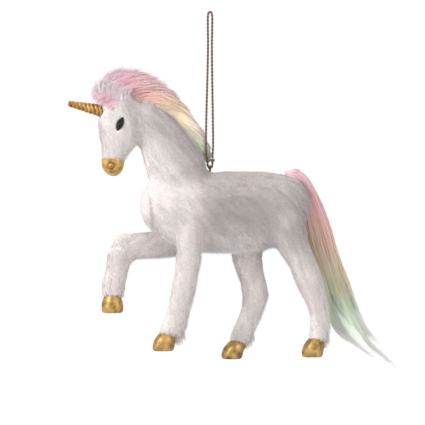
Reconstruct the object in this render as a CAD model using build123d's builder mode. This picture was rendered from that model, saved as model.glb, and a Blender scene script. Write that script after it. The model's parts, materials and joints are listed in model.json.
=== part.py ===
from build123d import *
from math import cos, pi, radians, sin, tan
import os

# A unicorn ornament: fur over shaped cores, gold hooves, muzzle and horn, hung from a loop of cord.
# Millimetres. -X is the nose, +X the tail, -Y the animal's left side, +Z up.
# The origin is the inside top of the loop, where the loop sits on its hook.

# The loop of cord and the eye that it passes through
loop_drop = 67.2
cord_diameter = 1.0
knot_diameter = 2.0
eye_wire_diameter = 0.7
eye_hole_diameter = 1.5
eye_shank_length = 13.0
eye_bend_angle = 318.0
eye_bends = 12
eye_standoff = 0.25

# Fur over the cores, and the gaps that are left for glue
fur_thickness = 1.6
seam_gap = 0.1
bore_gap = 0.1
fur_sides = 16
core_sides = 8
wire_sides = 10
cord_sides = 8

# The trunk
body_length = 74.9
body_depth = 34.6
body_width = 26.0
eye_along_share = 0.414

# The neck
neck_length = 50.5
neck_depth = 31.0
neck_width = 22.0
neck_rise_angle = 60.0

# The head
head_length = 37.0
head_depth = 21.0
head_width = 14.4
poll_forward = 41.4
poll_drop = 34.8
muzzle_start_share = 0.80

# The legs
leg_spacing = 15.0
foreleg_length = 54.6
foreleg_girth = 11.2
raised_leg_reach = 35.0
raised_leg_drop = 25.3
raised_leg_girth = 10.6
hindleg_length = 57.0
hindleg_girth = 17.2
leg_wire_diameter = 1.6
neck_wire_diameter = 2.0

# The hooves
hoof_height = 7.4
hoof_length = 9.2
hoof_width = 7.8
hoof_socket_depth = 4.0

# The horn
horn_length = 16.1
horn_base_diameter = 5.9
horn_tip_diameter = 2.5
horn_seat_depth = 1.0
horn_peg_diameter = 1.8
horn_peg_length = 4.0
horn_rise_angle = 12.0
horn_down_share = 0.240
horn_lobes = 3
horn_turns = 3.0
horn_groove_share = 0.82
horn_steps = 37
horn_sides_per_lobe = 5

# Face and ears
bead_length = 6.8
bead_width = 3.0
bead_peg_diameter = 1.0
bead_peg_length = 2.6
bead_tilt_angle = 24.0
bead_sink = 0.4
bead_forward = 1.4
bead_down_share = 0.392
nostril_diameter = 2.6
nostril_forward = 2.0
nostril_down_share = 0.872
ear_length = 8.4
ear_width = 4.6
ear_thickness = 1.8
ear_spacing = 7.6
ear_rise_angle = 34.0
ear_forward = 0.2
ear_down_share = 0.03

# Hair
mane_thickness = 2.8
mane_lean = 2.8
mane_root_depth = 1.6
forelock_width = 5.6
forelock_thickness = 3.6
tail_length = 98.0
tail_girth = 12.6
tail_roundness_share = 0.5

# The eye stands with its top wire's centre on this height
eye_axis_z = -loop_drop
ring_radius = (eye_hole_diameter + eye_wire_diameter) / 2
ring_centre_z = eye_axis_z - ring_radius
ring_bottom_z = ring_centre_z - ring_radius - eye_wire_diameter / 2

# The trunk hangs under the eye
body_centre_z = ring_bottom_z - eye_standoff - body_depth / 2
chest_x = -eye_along_share * body_length
leg_y = leg_spacing / 2

# Along the trunk, centre's rise, depth and width, from the chest to the rump
body_shares = (
    (0.000, 0.080, 0.160, 0.180),
    (0.018, 0.080, 0.400, 0.440),
    (0.054, 0.080, 0.585, 0.660),
    (0.144, 0.036, 0.790, 0.850),
    (0.264, 0.006, 0.955, 0.955),
    (0.384, 0.000, 1.000, 1.000),
    (0.505, 0.003, 1.026, 1.000),
    (0.625, 0.008, 1.012, 1.000),
    (0.745, 0.026, 0.972, 0.985),
    (0.848, 0.050, 0.860, 0.910),
    (0.932, 0.098, 0.690, 0.730),
    (0.974, 0.109, 0.450, 0.490),
    (1.000, 0.109, 0.180, 0.200),
)

# Forward, up, depth and width, from inside the trunk to inside the head
neck_root_x_share = -0.105
neck_root_z_share = 0.113
neck_shares = (
    (0.000, 0.000, 0.780, 0.780),
    (0.094, 0.161, 0.800, 0.800),
    (0.153, 0.292, 0.848, 0.840),
    (0.220, 0.427, 0.755, 0.734),
    (0.289, 0.571, 0.655, 0.633),
    (0.380, 0.697, 0.566, 0.560),
    (0.477, 0.789, 0.462, 0.480),
    (0.548, 0.841, 0.260, 0.270),
)

# Back from the poll, down, depth and width, from the poll to the lips
head_shares = (
    (0.000, 0.000, 0.326, 0.410),
    (0.006, 0.048, 0.610, 0.685),
    (0.024, 0.143, 0.855, 0.877),
    (0.036, 0.273, 0.960, 0.973),
    (0.040, 0.404, 0.955, 1.000),
    (0.028, 0.535, 0.850, 0.945),
    (0.002, 0.654, 0.680, 0.810),
    (-0.028, 0.737, 0.550, 0.685),
    (-0.053, 0.820, 0.476, 0.630),
    (-0.055, 0.896, 0.450, 0.616),
    (-0.049, 0.950, 0.350, 0.507),
    (-0.046, 0.986, 0.210, 0.315),
    (-0.046, 1.000, 0.100, 0.150),
)

# Each leg: back from its root, down, depth and width, from inside the trunk to the hoof
left_foreleg_shares = (
    (0.000, 0.000, 1.000, 0.860),
    (-0.016, 0.169, 1.040, 0.880),
    (-0.020, 0.314, 1.000, 0.860),
    (-0.040, 0.459, 0.930, 0.800),
    (-0.066, 0.604, 0.940, 0.800),
    (-0.095, 0.733, 0.870, 0.750),
    (-0.128, 0.850, 0.900, 0.760),
    (-0.152, 0.920, 0.990, 0.800),
    (-0.180, 0.974, 0.920, 0.740),
)
left_foreleg_root_share = -0.130

right_foreleg_shares = (
    (0.000, 0.000, 1.000, 0.900),
    (-0.180, 0.068, 1.150, 0.880),
    (-0.387, 0.102, 1.100, 0.850),
    (-0.605, 0.118, 1.090, 0.840),
    (-0.815, 0.160, 1.190, 0.880),
    (-0.908, 0.320, 1.050, 0.860),
    (-0.940, 0.545, 0.890, 0.780),
    (-0.984, 0.781, 0.960, 0.780),
    (-0.990, 1.000, 0.880, 0.740),
)
right_foreleg_root_share = -0.099
right_foreleg_drop_share = 0.338
knee_row = 4

left_hindleg_shares = (
    (0.000, 0.000, 0.850, 0.600),
    (0.031, 0.128, 1.000, 0.720),
    (0.050, 0.243, 0.965, 0.690),
    (0.113, 0.344, 0.800, 0.600),
    (0.168, 0.443, 0.725, 0.540),
    (0.203, 0.542, 0.740, 0.510),
    (0.238, 0.641, 0.640, 0.480),
    (0.273, 0.733, 0.520, 0.440),
    (0.295, 0.825, 0.490, 0.430),
    (0.296, 0.917, 0.520, 0.440),
    (0.281, 1.014, 0.500, 0.410),
)
left_hindleg_root_share = 0.412

right_hindleg_shares = (
    (0.000, 0.000, 0.850, 0.600),
    (-0.056, 0.128, 0.950, 0.700),
    (-0.112, 0.243, 0.900, 0.670),
    (-0.122, 0.344, 0.790, 0.600),
    (-0.100, 0.443, 0.700, 0.540),
    (-0.068, 0.542, 0.665, 0.500),
    (-0.048, 0.641, 0.680, 0.480),
    (-0.067, 0.733, 0.600, 0.450),
    (-0.098, 0.825, 0.590, 0.440),
    (-0.147, 0.917, 0.590, 0.440),
    (-0.172, 1.014, 0.550, 0.410),
)
right_hindleg_root_share = 0.334
hindleg_drop_share = -0.035

# Back from the dock, down, girth: the tail flows out, down and away to a point
tail_shares = (
    (0.009, 0.000, 0.520),
    (0.051, 0.037, 0.670),
    (0.092, 0.086, 0.750),
    (0.131, 0.198, 0.840),
    (0.152, 0.265, 0.900),
    (0.177, 0.359, 0.860),
    (0.211, 0.463, 0.870),
    (0.276, 0.647, 0.960),
    (0.315, 0.729, 0.920),
    (0.371, 0.790, 0.590),
    (0.429, 0.830, 0.310),
    (0.498, 0.870, 0.080),
)
tail_root_x_share = 0.469
tail_root_z_share = 0.477

# Foot of the hair forward and up, its tip forward and up, then its lean to the far side
mane_shares = (
    (-0.090, 0.420, -0.155, 0.520, 1.000),
    (-0.031, 0.501, -0.120, 0.610, 1.000),
    (0.049, 0.614, -0.070, 0.695, 0.860),
    (0.147, 0.736, 0.030, 0.815, 0.500),
    (0.263, 0.832, 0.155, 0.925, 0.200),
    (0.388, 0.902, 0.298, 1.050, 0.000),
    (0.512, 0.945, 0.462, 1.130, 0.000),
    (0.628, 0.971, 0.617, 1.150, 0.000),
    (0.717, 0.980, 0.755, 1.075, 0.000),
    (0.771, 0.965, 0.830, 1.010, 0.000),
)

# Forward and up from the neck's root, then width and thickness: the tuft between the ears and the horn
forelock_shares = (
    (0.700, 0.990, 0.600, 0.500),
    (0.755, 0.965, 0.900, 0.900),
    (0.800, 0.925, 1.000, 1.000),
    (0.826, 0.880, 0.900, 0.900),
    (0.832, 0.850, 0.500, 0.450),
)

# The knot's half width and its height, from its bottom to its top
knot_shares = (
    (0.560, 0.000),
    (0.850, 0.150),
    (1.000, 0.380),
    (1.000, 0.620),
    (0.850, 0.850),
    (0.560, 1.000),
)

# Places along an eye's bead, from its middle, as shares of its half length
bead_shares = (-0.98, -0.75, -0.35, 0.0, 0.35, 0.75, 0.98)

# Out from the nostril's mouth, then the pit's width
nostril_shares = (
    (-0.340, 0.350),
    (-0.200, 0.800),
    (0.200, 1.000),
    (1.000, 1.100),
)

# Down from the leg's end, ahead towards the toe, width and length: a domed hoof with a flat sole
hoof_shares = (
    (0.000, 0.100, 0.700, 0.680),
    (0.160, 0.400, 0.900, 0.880),
    (0.420, 0.800, 1.000, 1.000),
    (0.760, 1.000, 1.000, 1.020),
    (0.930, 1.020, 0.950, 0.970),
    (1.000, 1.020, 0.840, 0.860),
)

# How far each hoof's toe is ahead of its leg, as a share of the hoof's length
toe_shares = {
    "left_fore_hoof": 0.300,
    "right_fore_hoof": 0.020,
    "left_hind_hoof": 0.260,
    "right_hind_hoof": 0.400,
}

# Along the ear from its root to its tip, its width and thickness
ear_shares = (
    (0.000, 0.620, 0.800),
    (0.250, 0.950, 1.000),
    (0.500, 1.000, 0.950),
    (0.780, 0.700, 0.700),
    (1.000, 0.180, 0.250),
)


def ring(plane, half_side, half_deep, sides):
    """Even points round an ellipse on a plane."""
    turn = 2 * pi / sides
    return [
        plane.from_local_coords(Vector(half_side * cos(turn * i), half_deep * sin(turn * i)))
        for i in range(sides)
    ]


def facet(*corners):
    return Face(Wire.make_polygon(corners))


def form_through(rings):
    """A closed solid of flat facets that passes through rings of points, with as many points in each."""
    facets = [facet(*rings[0]), facet(*rings[-1])]
    for ring_before, ring_after in zip(rings, rings[1:]):
        for i in range(len(ring_before)):
            j = (i + 1) % len(ring_before)
            facets.append(facet(ring_before[i], ring_before[j], ring_after[i]))
            facets.append(facet(ring_before[j], ring_after[j], ring_after[i]))
    return Solid(Shell(facets))


def row_planes(centres):
    """One plane for each centre, square to the way from its neighbour before to its neighbour after."""
    planes = []
    for before, at, after in zip(centres[:1] + centres, centres, centres[1:] + centres[-1:]):
        planes.append(Plane(origin=at, x_dir=(0, 1, 0), z_dir=(after - before).normalized()))
    return planes


def level_planes(centres, normal):
    """One plane for each centre, all square to one direction."""
    return [Plane(origin=at, x_dir=(0, 1, 0), z_dir=normal) for at in centres]


def swelling_form(rows, sides, grow=0):
    """A solid that swells and tapers through its rows of plane, half side and half depth."""
    return form_through([ring(plane, side + grow, deep + grow, sides) for plane, side, deep in rows])


def inner_rows(rows):
    """The rows of a core: the covering's own, less its end rows, and drawn in by the fur."""
    return [
        (plane, side * (1 - fur_thickness / deep), deep - fur_thickness)
        for plane, side, deep in rows[1:-1]
    ]


def limb_rows(root, reach, drop, girth, shares, turning=False):
    """Rows for a limb from shares of its reach, its drop and its girth, level or turning with it."""
    centres = [Vector(root.X + back * reach, root.Y, root.Z - down * drop) for back, down, *_ in shares]
    planes = row_planes(centres) if turning else level_planes(centres, (0, 0, -1))
    halves = [(wide * girth / 2, deep * girth / 2) for _, _, deep, wide in shares]
    return [(plane, *half) for plane, half in zip(planes, halves)]


def wire_form(points, diameter):
    """A round wire through a few points, bent sharply at each."""
    start = Plane(origin=points[0], z_dir=(points[1] - points[0]).normalized())
    with BuildPart() as wire:
        with BuildLine() as route:
            Polyline(*points)
        with BuildSketch(start):
            RegularPolygon(diameter / 2, wire_sides)
        sweep(path=route.wires()[0], transition=Transition.RIGHT)
    return wire.part


def head_at(down):
    """Centre's x, half side and half depth of the head, a share of its length below the poll."""
    for upper, lower in zip(head_shares, head_shares[1:]):
        if down <= lower[1]:
            mix = (down - upper[1]) / (lower[1] - upper[1])
            back, _, deep, wide = (a + mix * (b - a) for a, b in zip(upper, lower))
            break
    return -poll_forward + back * head_length, wide * head_width / 2, deep * head_depth / 2


def head_side_y(down, ahead):
    """How far out the head's side is at a share down the face and a distance ahead of its middle."""
    _, half_side, half_deep = head_at(down)
    return half_side * (1 - (ahead / half_deep) ** 2) ** 0.5


# Rows of every form, worked out before any is made
body_rows = [
    (
        Plane(
            origin=(chest_x + along * body_length, 0, body_centre_z + rise * body_depth),
            x_dir=(0, 1, 0),
            z_dir=(1, 0, 0),
        ),
        wide * body_width / 2,
        deep * body_depth / 2,
    )
    for along, rise, deep, wide in body_shares
]
neck_root = Vector(neck_root_x_share * body_length, 0, body_centre_z + neck_root_z_share * body_depth)
neck_centres = [
    Vector(neck_root.X - ahead * neck_length, 0, neck_root.Z + up * neck_length)
    for ahead, up, _, _ in neck_shares
]
neck_direction = (-cos(radians(neck_rise_angle)), 0, sin(radians(neck_rise_angle)))
neck_rows = [
    (plane, wide * neck_width / 2, deep * neck_depth / 2)
    for plane, (_, _, deep, wide) in zip(level_planes(neck_centres, neck_direction), neck_shares)
]
head_rows = [
    (
        Plane(
            origin=(-poll_forward + back * head_length, 0, -poll_drop - down * head_length),
            x_dir=(0, 1, 0),
            z_dir=(0, 0, -1),
        ),
        wide * head_width / 2,
        deep * head_depth / 2,
    )
    for back, down, deep, wide in head_shares
]
left_foreleg_rows = limb_rows(
    Vector(left_foreleg_root_share * body_length, -leg_y, body_centre_z),
    foreleg_length,
    foreleg_length,
    foreleg_girth,
    left_foreleg_shares,
)
right_foreleg_rows = limb_rows(
    Vector(
        right_foreleg_root_share * body_length,
        leg_y,
        body_centre_z - right_foreleg_drop_share * body_depth,
    ),
    raised_leg_reach,
    raised_leg_drop,
    raised_leg_girth,
    right_foreleg_shares,
    turning=True,
)
left_hindleg_rows = limb_rows(
    Vector(left_hindleg_root_share * body_length, -leg_y, body_centre_z - hindleg_drop_share * body_depth),
    hindleg_length,
    hindleg_length,
    hindleg_girth,
    left_hindleg_shares,
)
right_hindleg_rows = limb_rows(
    Vector(right_hindleg_root_share * body_length, leg_y, body_centre_z),
    hindleg_length,
    hindleg_length,
    hindleg_girth,
    right_hindleg_shares,
)


# The cores and furs of the trunk, neck and head, each later one cut by the larger ones before it
torso_form = swelling_form(body_rows, fur_sides)
torso_space = swelling_form(body_rows, fur_sides, seam_gap)
torso_core_space = swelling_form(inner_rows(body_rows), core_sides, bore_gap)
neck_space = swelling_form(neck_rows, fur_sides, seam_gap)
neck_core_space = swelling_form(inner_rows(neck_rows), core_sides, bore_gap)
head_space = swelling_form(head_rows, fur_sides, seam_gap)
head_core_space = swelling_form(inner_rows(head_rows), core_sides, bore_gap)

# The eye: one wire, straight where it is driven into the trunk and bent round above it
shank_top = Vector(0, 0, ring_centre_z - ring_radius)
shank_end = shank_top - Vector(0, 0, eye_shank_length)
eye_points = [shank_end, shank_top]
for step in range(1, eye_bends + 1):
    turn = radians(eye_bend_angle * step / eye_bends)
    eye_points.append(Vector(0, ring_radius * sin(turn), ring_centre_z - ring_radius * cos(turn)))
screw_eye = wire_form(eye_points, eye_wire_diameter)
shank_space = wire_form([shank_end, shank_top], eye_wire_diameter + 2 * bore_gap)

# The wires that carry the neck and the legs, each from inside the trunk
head_core_x, _, _ = head_at(horn_down_share)
neck_wire_points = [
    neck_rows[0][0].origin,
    neck_rows[3][0].origin,
    neck_rows[5][0].origin,
    Vector(head_core_x, 0, neck_rows[6][0].origin.Z),
]


def leg_wire_points(rows, bends):
    """A leg wire's points: through some of the leg's rows, then down into the hoof's socket."""
    foot = rows[-1][0].origin
    return [rows[i][0].origin for i in bends] + [foot - Vector(0, 0, hoof_socket_depth)]


legs = {
    "left_foreleg": (left_foreleg_rows, (0, 4, 7)),
    "right_foreleg": (right_foreleg_rows, (0, 3, 6)),
    "left_hindleg": (left_hindleg_rows, (0, 5, 8)),
    "right_hindleg": (right_hindleg_rows, (0, 6, 9)),
}
wires = {"neck_wire": (neck_wire_points, neck_wire_diameter)}
for name, (rows, bends) in legs.items():
    wires[name + "_wire"] = (leg_wire_points(rows, bends), leg_wire_diameter)
wire_parts = {name: wire_form(points, size) for name, (points, size) in wires.items()}
wire_spaces = {name: wire_form(points, size + 2 * bore_gap) for name, (points, size) in wires.items()}

with BuildPart() as torso_core:
    add(swelling_form(inner_rows(body_rows), core_sides))
    add(shank_space, mode=Mode.SUBTRACT)
    add(list(wire_spaces.values()), mode=Mode.SUBTRACT)
torso_core.part.label = "torso_core"

with BuildPart() as torso_fur:
    add(torso_form)
    add(torso_core_space, mode=Mode.SUBTRACT)
    add(shank_space, mode=Mode.SUBTRACT)
    add(list(wire_spaces.values()), mode=Mode.SUBTRACT)
torso_fur.part.label = "torso_fur"

with BuildPart() as neck_core:
    add(swelling_form(inner_rows(neck_rows), core_sides))
    add(torso_space, mode=Mode.SUBTRACT)
    add(wire_spaces["neck_wire"], mode=Mode.SUBTRACT)
neck_core.part.label = "neck_core"

with BuildPart() as neck_fur:
    add(swelling_form(neck_rows, fur_sides))
    add(neck_core_space, mode=Mode.SUBTRACT)
    add(torso_space, mode=Mode.SUBTRACT)
    add(wire_spaces["neck_wire"], mode=Mode.SUBTRACT)
neck_fur.part.label = "neck_fur"

# The horn: grooves that climb round a cone, on a peg in the head
rise = radians(horn_rise_angle)
horn_x, _, horn_half_deep = head_at(horn_down_share)
horn_base = Vector(
    horn_x - horn_half_deep + fur_thickness + horn_seat_depth,
    0,
    -poll_drop - horn_down_share * head_length,
)
horn_plane = Plane(origin=horn_base, x_dir=(0, 1, 0), z_dir=(-cos(rise), 0, sin(rise)))


def horn_ring(step):
    """One lobed ring of the horn, turned a little further than the one below it."""
    share = step / (horn_steps - 1)
    plane = horn_plane.offset(share * horn_length)
    outer = (horn_base_diameter + share * (horn_tip_diameter - horn_base_diameter)) / 2
    count = horn_sides_per_lobe * horn_lobes
    points = []
    for i in range(count):
        swell = (1 + cos(horn_lobes * 2 * pi * i / count)) / 2
        reach = outer * (horn_groove_share + (1 - horn_groove_share) * swell)
        angle = 2 * pi * (i / count + horn_turns * share)
        points.append(plane.from_local_coords(Vector(reach * cos(angle), reach * sin(angle))))
    return points


with BuildPart() as horn:
    add(form_through([horn_ring(step) for step in range(horn_steps)]))
    with BuildSketch(horn_plane):
        RegularPolygon(horn_peg_diameter / 2, wire_sides)
    extrude(amount=-horn_peg_length)
horn.part.label = "horn"

with BuildPart() as horn_room:
    with BuildSketch(horn_plane):
        RegularPolygon(horn_base_diameter / 2 + 2 * bore_gap, fur_sides)
    extrude(amount=horn_length)
    with BuildSketch(horn_plane):
        RegularPolygon(horn_peg_diameter / 2 + bore_gap, wire_sides)
    extrude(amount=-horn_peg_length - bore_gap)


def bead_rows(side, grow):
    """Rows along an almond bead, lying on the side of the head."""
    tilt = radians(bead_tilt_angle)
    x, _, _ = head_at(bead_down_share)
    out = head_side_y(bead_down_share, bead_forward) - bead_sink
    centre = Vector(x - bead_forward, side * out, -poll_drop - bead_down_share * head_length)
    along = Vector(sin(tilt), 0, cos(tilt))
    rows = []
    for share in bead_shares:
        half = bead_width / 2 * (1 - share ** 2) + grow
        place = centre + along * (share * (bead_length / 2 + grow))
        rows.append((Plane(origin=place, x_dir=(0, 1, 0), z_dir=along), half, half))
    return rows


def bead_peg(side, grow):
    """The peg that holds a bead in the head."""
    start = bead_rows(side, 0)[len(bead_shares) // 2][0].origin
    with BuildPart() as peg:
        with BuildSketch(Plane(origin=start, z_dir=(0, -side, 0))):
            RegularPolygon(bead_peg_diameter / 2 + grow, wire_sides)
        extrude(amount=bead_width / 2 + bead_peg_length + grow)
    return peg.part


sides = {"left": -1, "right": 1}
eye_beads = {}
bead_spaces = []
for word, side in sides.items():
    with BuildPart() as eye_bead:
        add(swelling_form(bead_rows(side, 0), core_sides))
        add(bead_peg(side, 0))
    eye_bead.part.label = word + "_eye"
    eye_beads[word + "_eye"] = eye_bead.part
    bead_spaces += [swelling_form(bead_rows(side, bore_gap), core_sides), bead_peg(side, bore_gap)]

with BuildPart() as head_core:
    add(swelling_form(inner_rows(head_rows), core_sides))
    add(neck_space, mode=Mode.SUBTRACT)
    add([horn_room.part, wire_spaces["neck_wire"], *bead_spaces], mode=Mode.SUBTRACT)
head_core.part.label = "head_core"

# The face is furred down to the muzzle, and the muzzle is a gold cap with two nostrils
muzzle_z = -poll_drop - muzzle_start_share * head_length
with BuildPart() as head_shell:
    add(swelling_form(head_rows, fur_sides))
    add(head_core_space, mode=Mode.SUBTRACT)

with BuildPart() as head_fur:
    add(head_shell.part)
    split(bisect_by=Plane.XY.offset(muzzle_z), keep=Keep.TOP)
    add(neck_space, mode=Mode.SUBTRACT)
    add([horn_room.part, *bead_spaces], mode=Mode.SUBTRACT)
head_fur.part.label = "head_fur"


def nostril(side):
    """The hollow of one nostril: a short pit that widens outwards."""
    x, _, _ = head_at(nostril_down_share)
    out = head_side_y(nostril_down_share, nostril_forward)
    mouth = Vector(x - nostril_forward, side * out, -poll_drop - nostril_down_share * head_length)
    rows = []
    for share, wide in nostril_shares:
        place = mouth + Vector(0, side * share * nostril_diameter, 0)
        half = wide * nostril_diameter / 2
        rows.append((Plane(origin=place, x_dir=(1, 0, 0), z_dir=(0, side, 0)), half, half))
    return swelling_form(rows, core_sides)


with BuildPart() as muzzle_cap:
    add(head_shell.part)
    split(bisect_by=Plane.XY.offset(muzzle_z), keep=Keep.BOTTOM)
    add([nostril(side) for side in sides.values()], mode=Mode.SUBTRACT)
muzzle_cap.part.label = "muzzle_cap"


def ear_rows(side):
    """Rows along an ear, from inside the poll up and forward to its tip."""
    lift = radians(ear_rise_angle)
    x, _, _ = head_at(ear_down_share)
    along = Vector(-cos(lift), 0, sin(lift))
    root = Vector(x - ear_forward, side * ear_spacing / 2, -poll_drop - ear_down_share * head_length)
    return [
        (
            Plane(origin=root + along * (share * ear_length), x_dir=(0, 1, 0), z_dir=along),
            thick * ear_thickness / 2,
            wide * ear_width / 2,
        )
        for share, wide, thick in ear_shares
    ]


ears = {}
for word, side in sides.items():
    with BuildPart() as ear:
        add(swelling_form(ear_rows(side), core_sides))
        add([head_space, neck_space], mode=Mode.SUBTRACT)
    ear.part.label = word + "_ear"
    ears[word + "_ear"] = ear.part

# The legs: wire, core, fur and hoof
leg_parts = {}
for name, (rows, _) in legs.items():
    core_rows = inner_rows(rows)
    wire_space = wire_spaces[name + "_wire"]
    with BuildPart() as core:
        add(swelling_form(core_rows, core_sides))
        add([torso_space, wire_space], mode=Mode.SUBTRACT)
    core.part.label = name + "_core"
    leg_parts[name + "_core"] = core.part
    with BuildPart() as fur:
        add(swelling_form(rows, fur_sides))
        add(swelling_form(core_rows, core_sides, bore_gap), mode=Mode.SUBTRACT)
        add([torso_space, wire_space], mode=Mode.SUBTRACT)
    leg_parts[name + "_fur"] = fur.part

# The raised leg's fur is sewn in two at the knee
knee = right_foreleg_rows[knee_row][0]
raised_fur = leg_parts.pop("right_foreleg_fur")
for word, keep in (("upper", Keep.BOTTOM), ("lower", Keep.TOP)):
    with BuildPart() as half_fur:
        add(raised_fur)
        split(bisect_by=knee, keep=keep)
    leg_parts["right_foreleg_" + word + "_fur"] = half_fur.part


def hoof_rows(rows, toe_share):
    """Rows of a hoof from the end of the leg down to the sole, its toe ahead of the leg."""
    top = rows[-1][0].origin - Vector(0, 0, seam_gap)
    places = [
        top - Vector(ahead * toe_share * hoof_length, 0, down * hoof_height)
        for down, ahead, _, _ in hoof_shares
    ]
    return [
        (plane, wide * hoof_width / 2, long * hoof_length / 2)
        for plane, (_, _, wide, long) in zip(level_planes(places, (0, 0, -1)), hoof_shares)
    ]


for (name, toe_share), (leg, (rows, _)) in zip(toe_shares.items(), legs.items()):
    with BuildPart() as hoof:
        add(swelling_form(hoof_rows(rows, toe_share), fur_sides))
        add(wire_spaces[leg + "_wire"], mode=Mode.SUBTRACT)
    leg_parts[name] = hoof.part

# Hair
mane_rows = []
for foot_ahead, foot_up, tip_ahead, tip_up, lean in mane_shares:
    foot = neck_root + Vector(-foot_ahead, 0, foot_up) * neck_length
    tip = neck_root + Vector(-tip_ahead, 0, tip_up) * neck_length
    up = (tip - foot).normalized()
    middle = (foot + tip - up * mane_root_depth) * 0.5 + Vector(0, lean * mane_lean, 0)
    half_height = ((tip - foot).length + mane_root_depth) / 2
    plane = Plane(origin=middle, x_dir=(0, 1, 0), z_dir=(up.Z, 0, -up.X))
    mane_rows.append((plane, mane_thickness / 2, half_height))
with BuildPart() as mane:
    add(swelling_form(mane_rows, core_sides))
    add([torso_space, neck_space, head_space], mode=Mode.SUBTRACT)
mane.part.label = "mane"

forelock_centres = [
    neck_root + Vector(-ahead, 0, up) * neck_length for ahead, up, _, _ in forelock_shares
]
forelock_rows = [
    (plane, wide * forelock_width / 2, thick * forelock_thickness / 2)
    for plane, (_, _, wide, thick) in zip(row_planes(forelock_centres), forelock_shares)
]
with BuildPart() as forelock:
    add(swelling_form(forelock_rows, core_sides))
    add([head_space, neck_space, horn_room.part], mode=Mode.SUBTRACT)
    add(swelling_form(mane_rows, core_sides, seam_gap), mode=Mode.SUBTRACT)
forelock.part.label = "forelock"

tail_root = Vector(
    tail_root_x_share * body_length,
    0,
    body_centre_z + tail_root_z_share * body_depth,
)
tail_centres = [
    tail_root + Vector(back, 0, -down) * tail_length for back, down, _ in tail_shares
]
tail_rows = [
    (plane, girth * tail_girth * tail_roundness_share / 2, girth * tail_girth / 2)
    for plane, (_, _, girth) in zip(row_planes(tail_centres), tail_shares)
]
with BuildPart() as tail:
    add(swelling_form(tail_rows, core_sides))
    add(torso_space, mode=Mode.SUBTRACT)
tail.part.label = "tail"

# The loop of cord, from the top of its knot over the hook, down through the eye and back into the knot
knot_x = 1.1
bend_share = 0.45
cord_route = [
    (knot_x, 0, -63.9),
    (knot_x, 0, -62.4),
    (1.5, 0, -58.6),
    (0.75, 0, -17.5),
    (1.0, 0, 0.5),
    (-1.0, 0, 0.5),
    (-0.85, 0, -17.5),
    (-2.1, 0, -59.5),
    (-1.15, 0, -65.2),
    (-1.05, 0, -68.15),
    (knot_x, 0, -68.15),
    (knot_x, 0, -65.9),
]


def cord_radii(route):
    """As large an arc at each corner as its two runs allow."""
    radii = []
    for before, at, after in zip(route, route[1:], route[2:]):
        inward = Vector(*at) - Vector(*before)
        outward = Vector(*after) - Vector(*at)
        half_turn = radians(inward.get_angle(outward)) / 2
        radii.append(bend_share * min(inward.length, outward.length) / tan(half_turn))
    return radii


cord_bends = cord_radii(cord_route)
with BuildPart() as hanging_cord:
    with BuildLine() as cord_line:
        FilletPolyline(*cord_route, radius=cord_bends)
    with BuildSketch(Plane(origin=cord_route[0], z_dir=(0, 0, 1))):
        RegularPolygon(cord_diameter / 2, cord_sides)
    sweep(path=cord_line.wires()[0])
hanging_cord.part.label = "hanging_cord"
cord_length = cord_line.wires()[0].length
print("cord length", round(cord_length, 2), "radii", [round(radius, 2) for radius in cord_bends])
print("tube volume", round(hanging_cord.part.volume, 2))
cord_section = cord_sides * sin(2 * pi / cord_sides) * cord_diameter ** 2 / 8
print("section times length", round(cord_length * cord_section, 2))

# The knot: a small barrel that the cord's two ends run into
knot_top_z = cord_route[0][2]
knot_bottom_z = cord_route[-1][2]
with BuildPart() as cord_knot:
    with BuildSketch(Plane(origin=(knot_x, 0, knot_bottom_z), x_dir=(1, 0, 0), z_dir=(0, -1, 0))):
        with BuildLine():
            profile = [
                (wide * knot_diameter / 2, up * (knot_top_z - knot_bottom_z)) for wide, up in knot_shares
            ]
            Polyline((0, 0), *profile, (0, knot_top_z - knot_bottom_z), close=True)
        make_face()
    revolve(axis=Axis((knot_x, 0, 0), (0, 0, 1)))
cord_knot.part.label = "cord_knot"

# Write every piece
pieces = [
    torso_core,
    torso_fur,
    neck_core,
    neck_fur,
    horn,
    head_core,
    head_fur,
    muzzle_cap,
    mane,
    forelock,
    tail,
    hanging_cord,
    cord_knot,
]
named = {piece.part.label: piece.part for piece in pieces}
named["screw_eye"] = screw_eye
named.update(wire_parts)
named.update(eye_beads)
named.update(ears)
named.update(leg_parts)
os.makedirs("parts", exist_ok=True)
for name, piece in named.items():
    piece.label = name
    export_step(piece, "parts/" + name + ".step")
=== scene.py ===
# %% [markdown]
# # A hanging unicorn ornament
# A small animal covered in short white fur, with a dyed mane and tail, gold hooves, a gold
# muzzle and a gold horn. It hangs from a loop of twisted cord. The frame holds its true sizes
# and its one joint. Everything that a hand would feel is made here: pile, hair, paint and cord.

# %% Load the frame
import json
import math
import bmesh
import bpy
import numpy as np
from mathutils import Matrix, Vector
from mathutils.bvhtree import BVHTree


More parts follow.
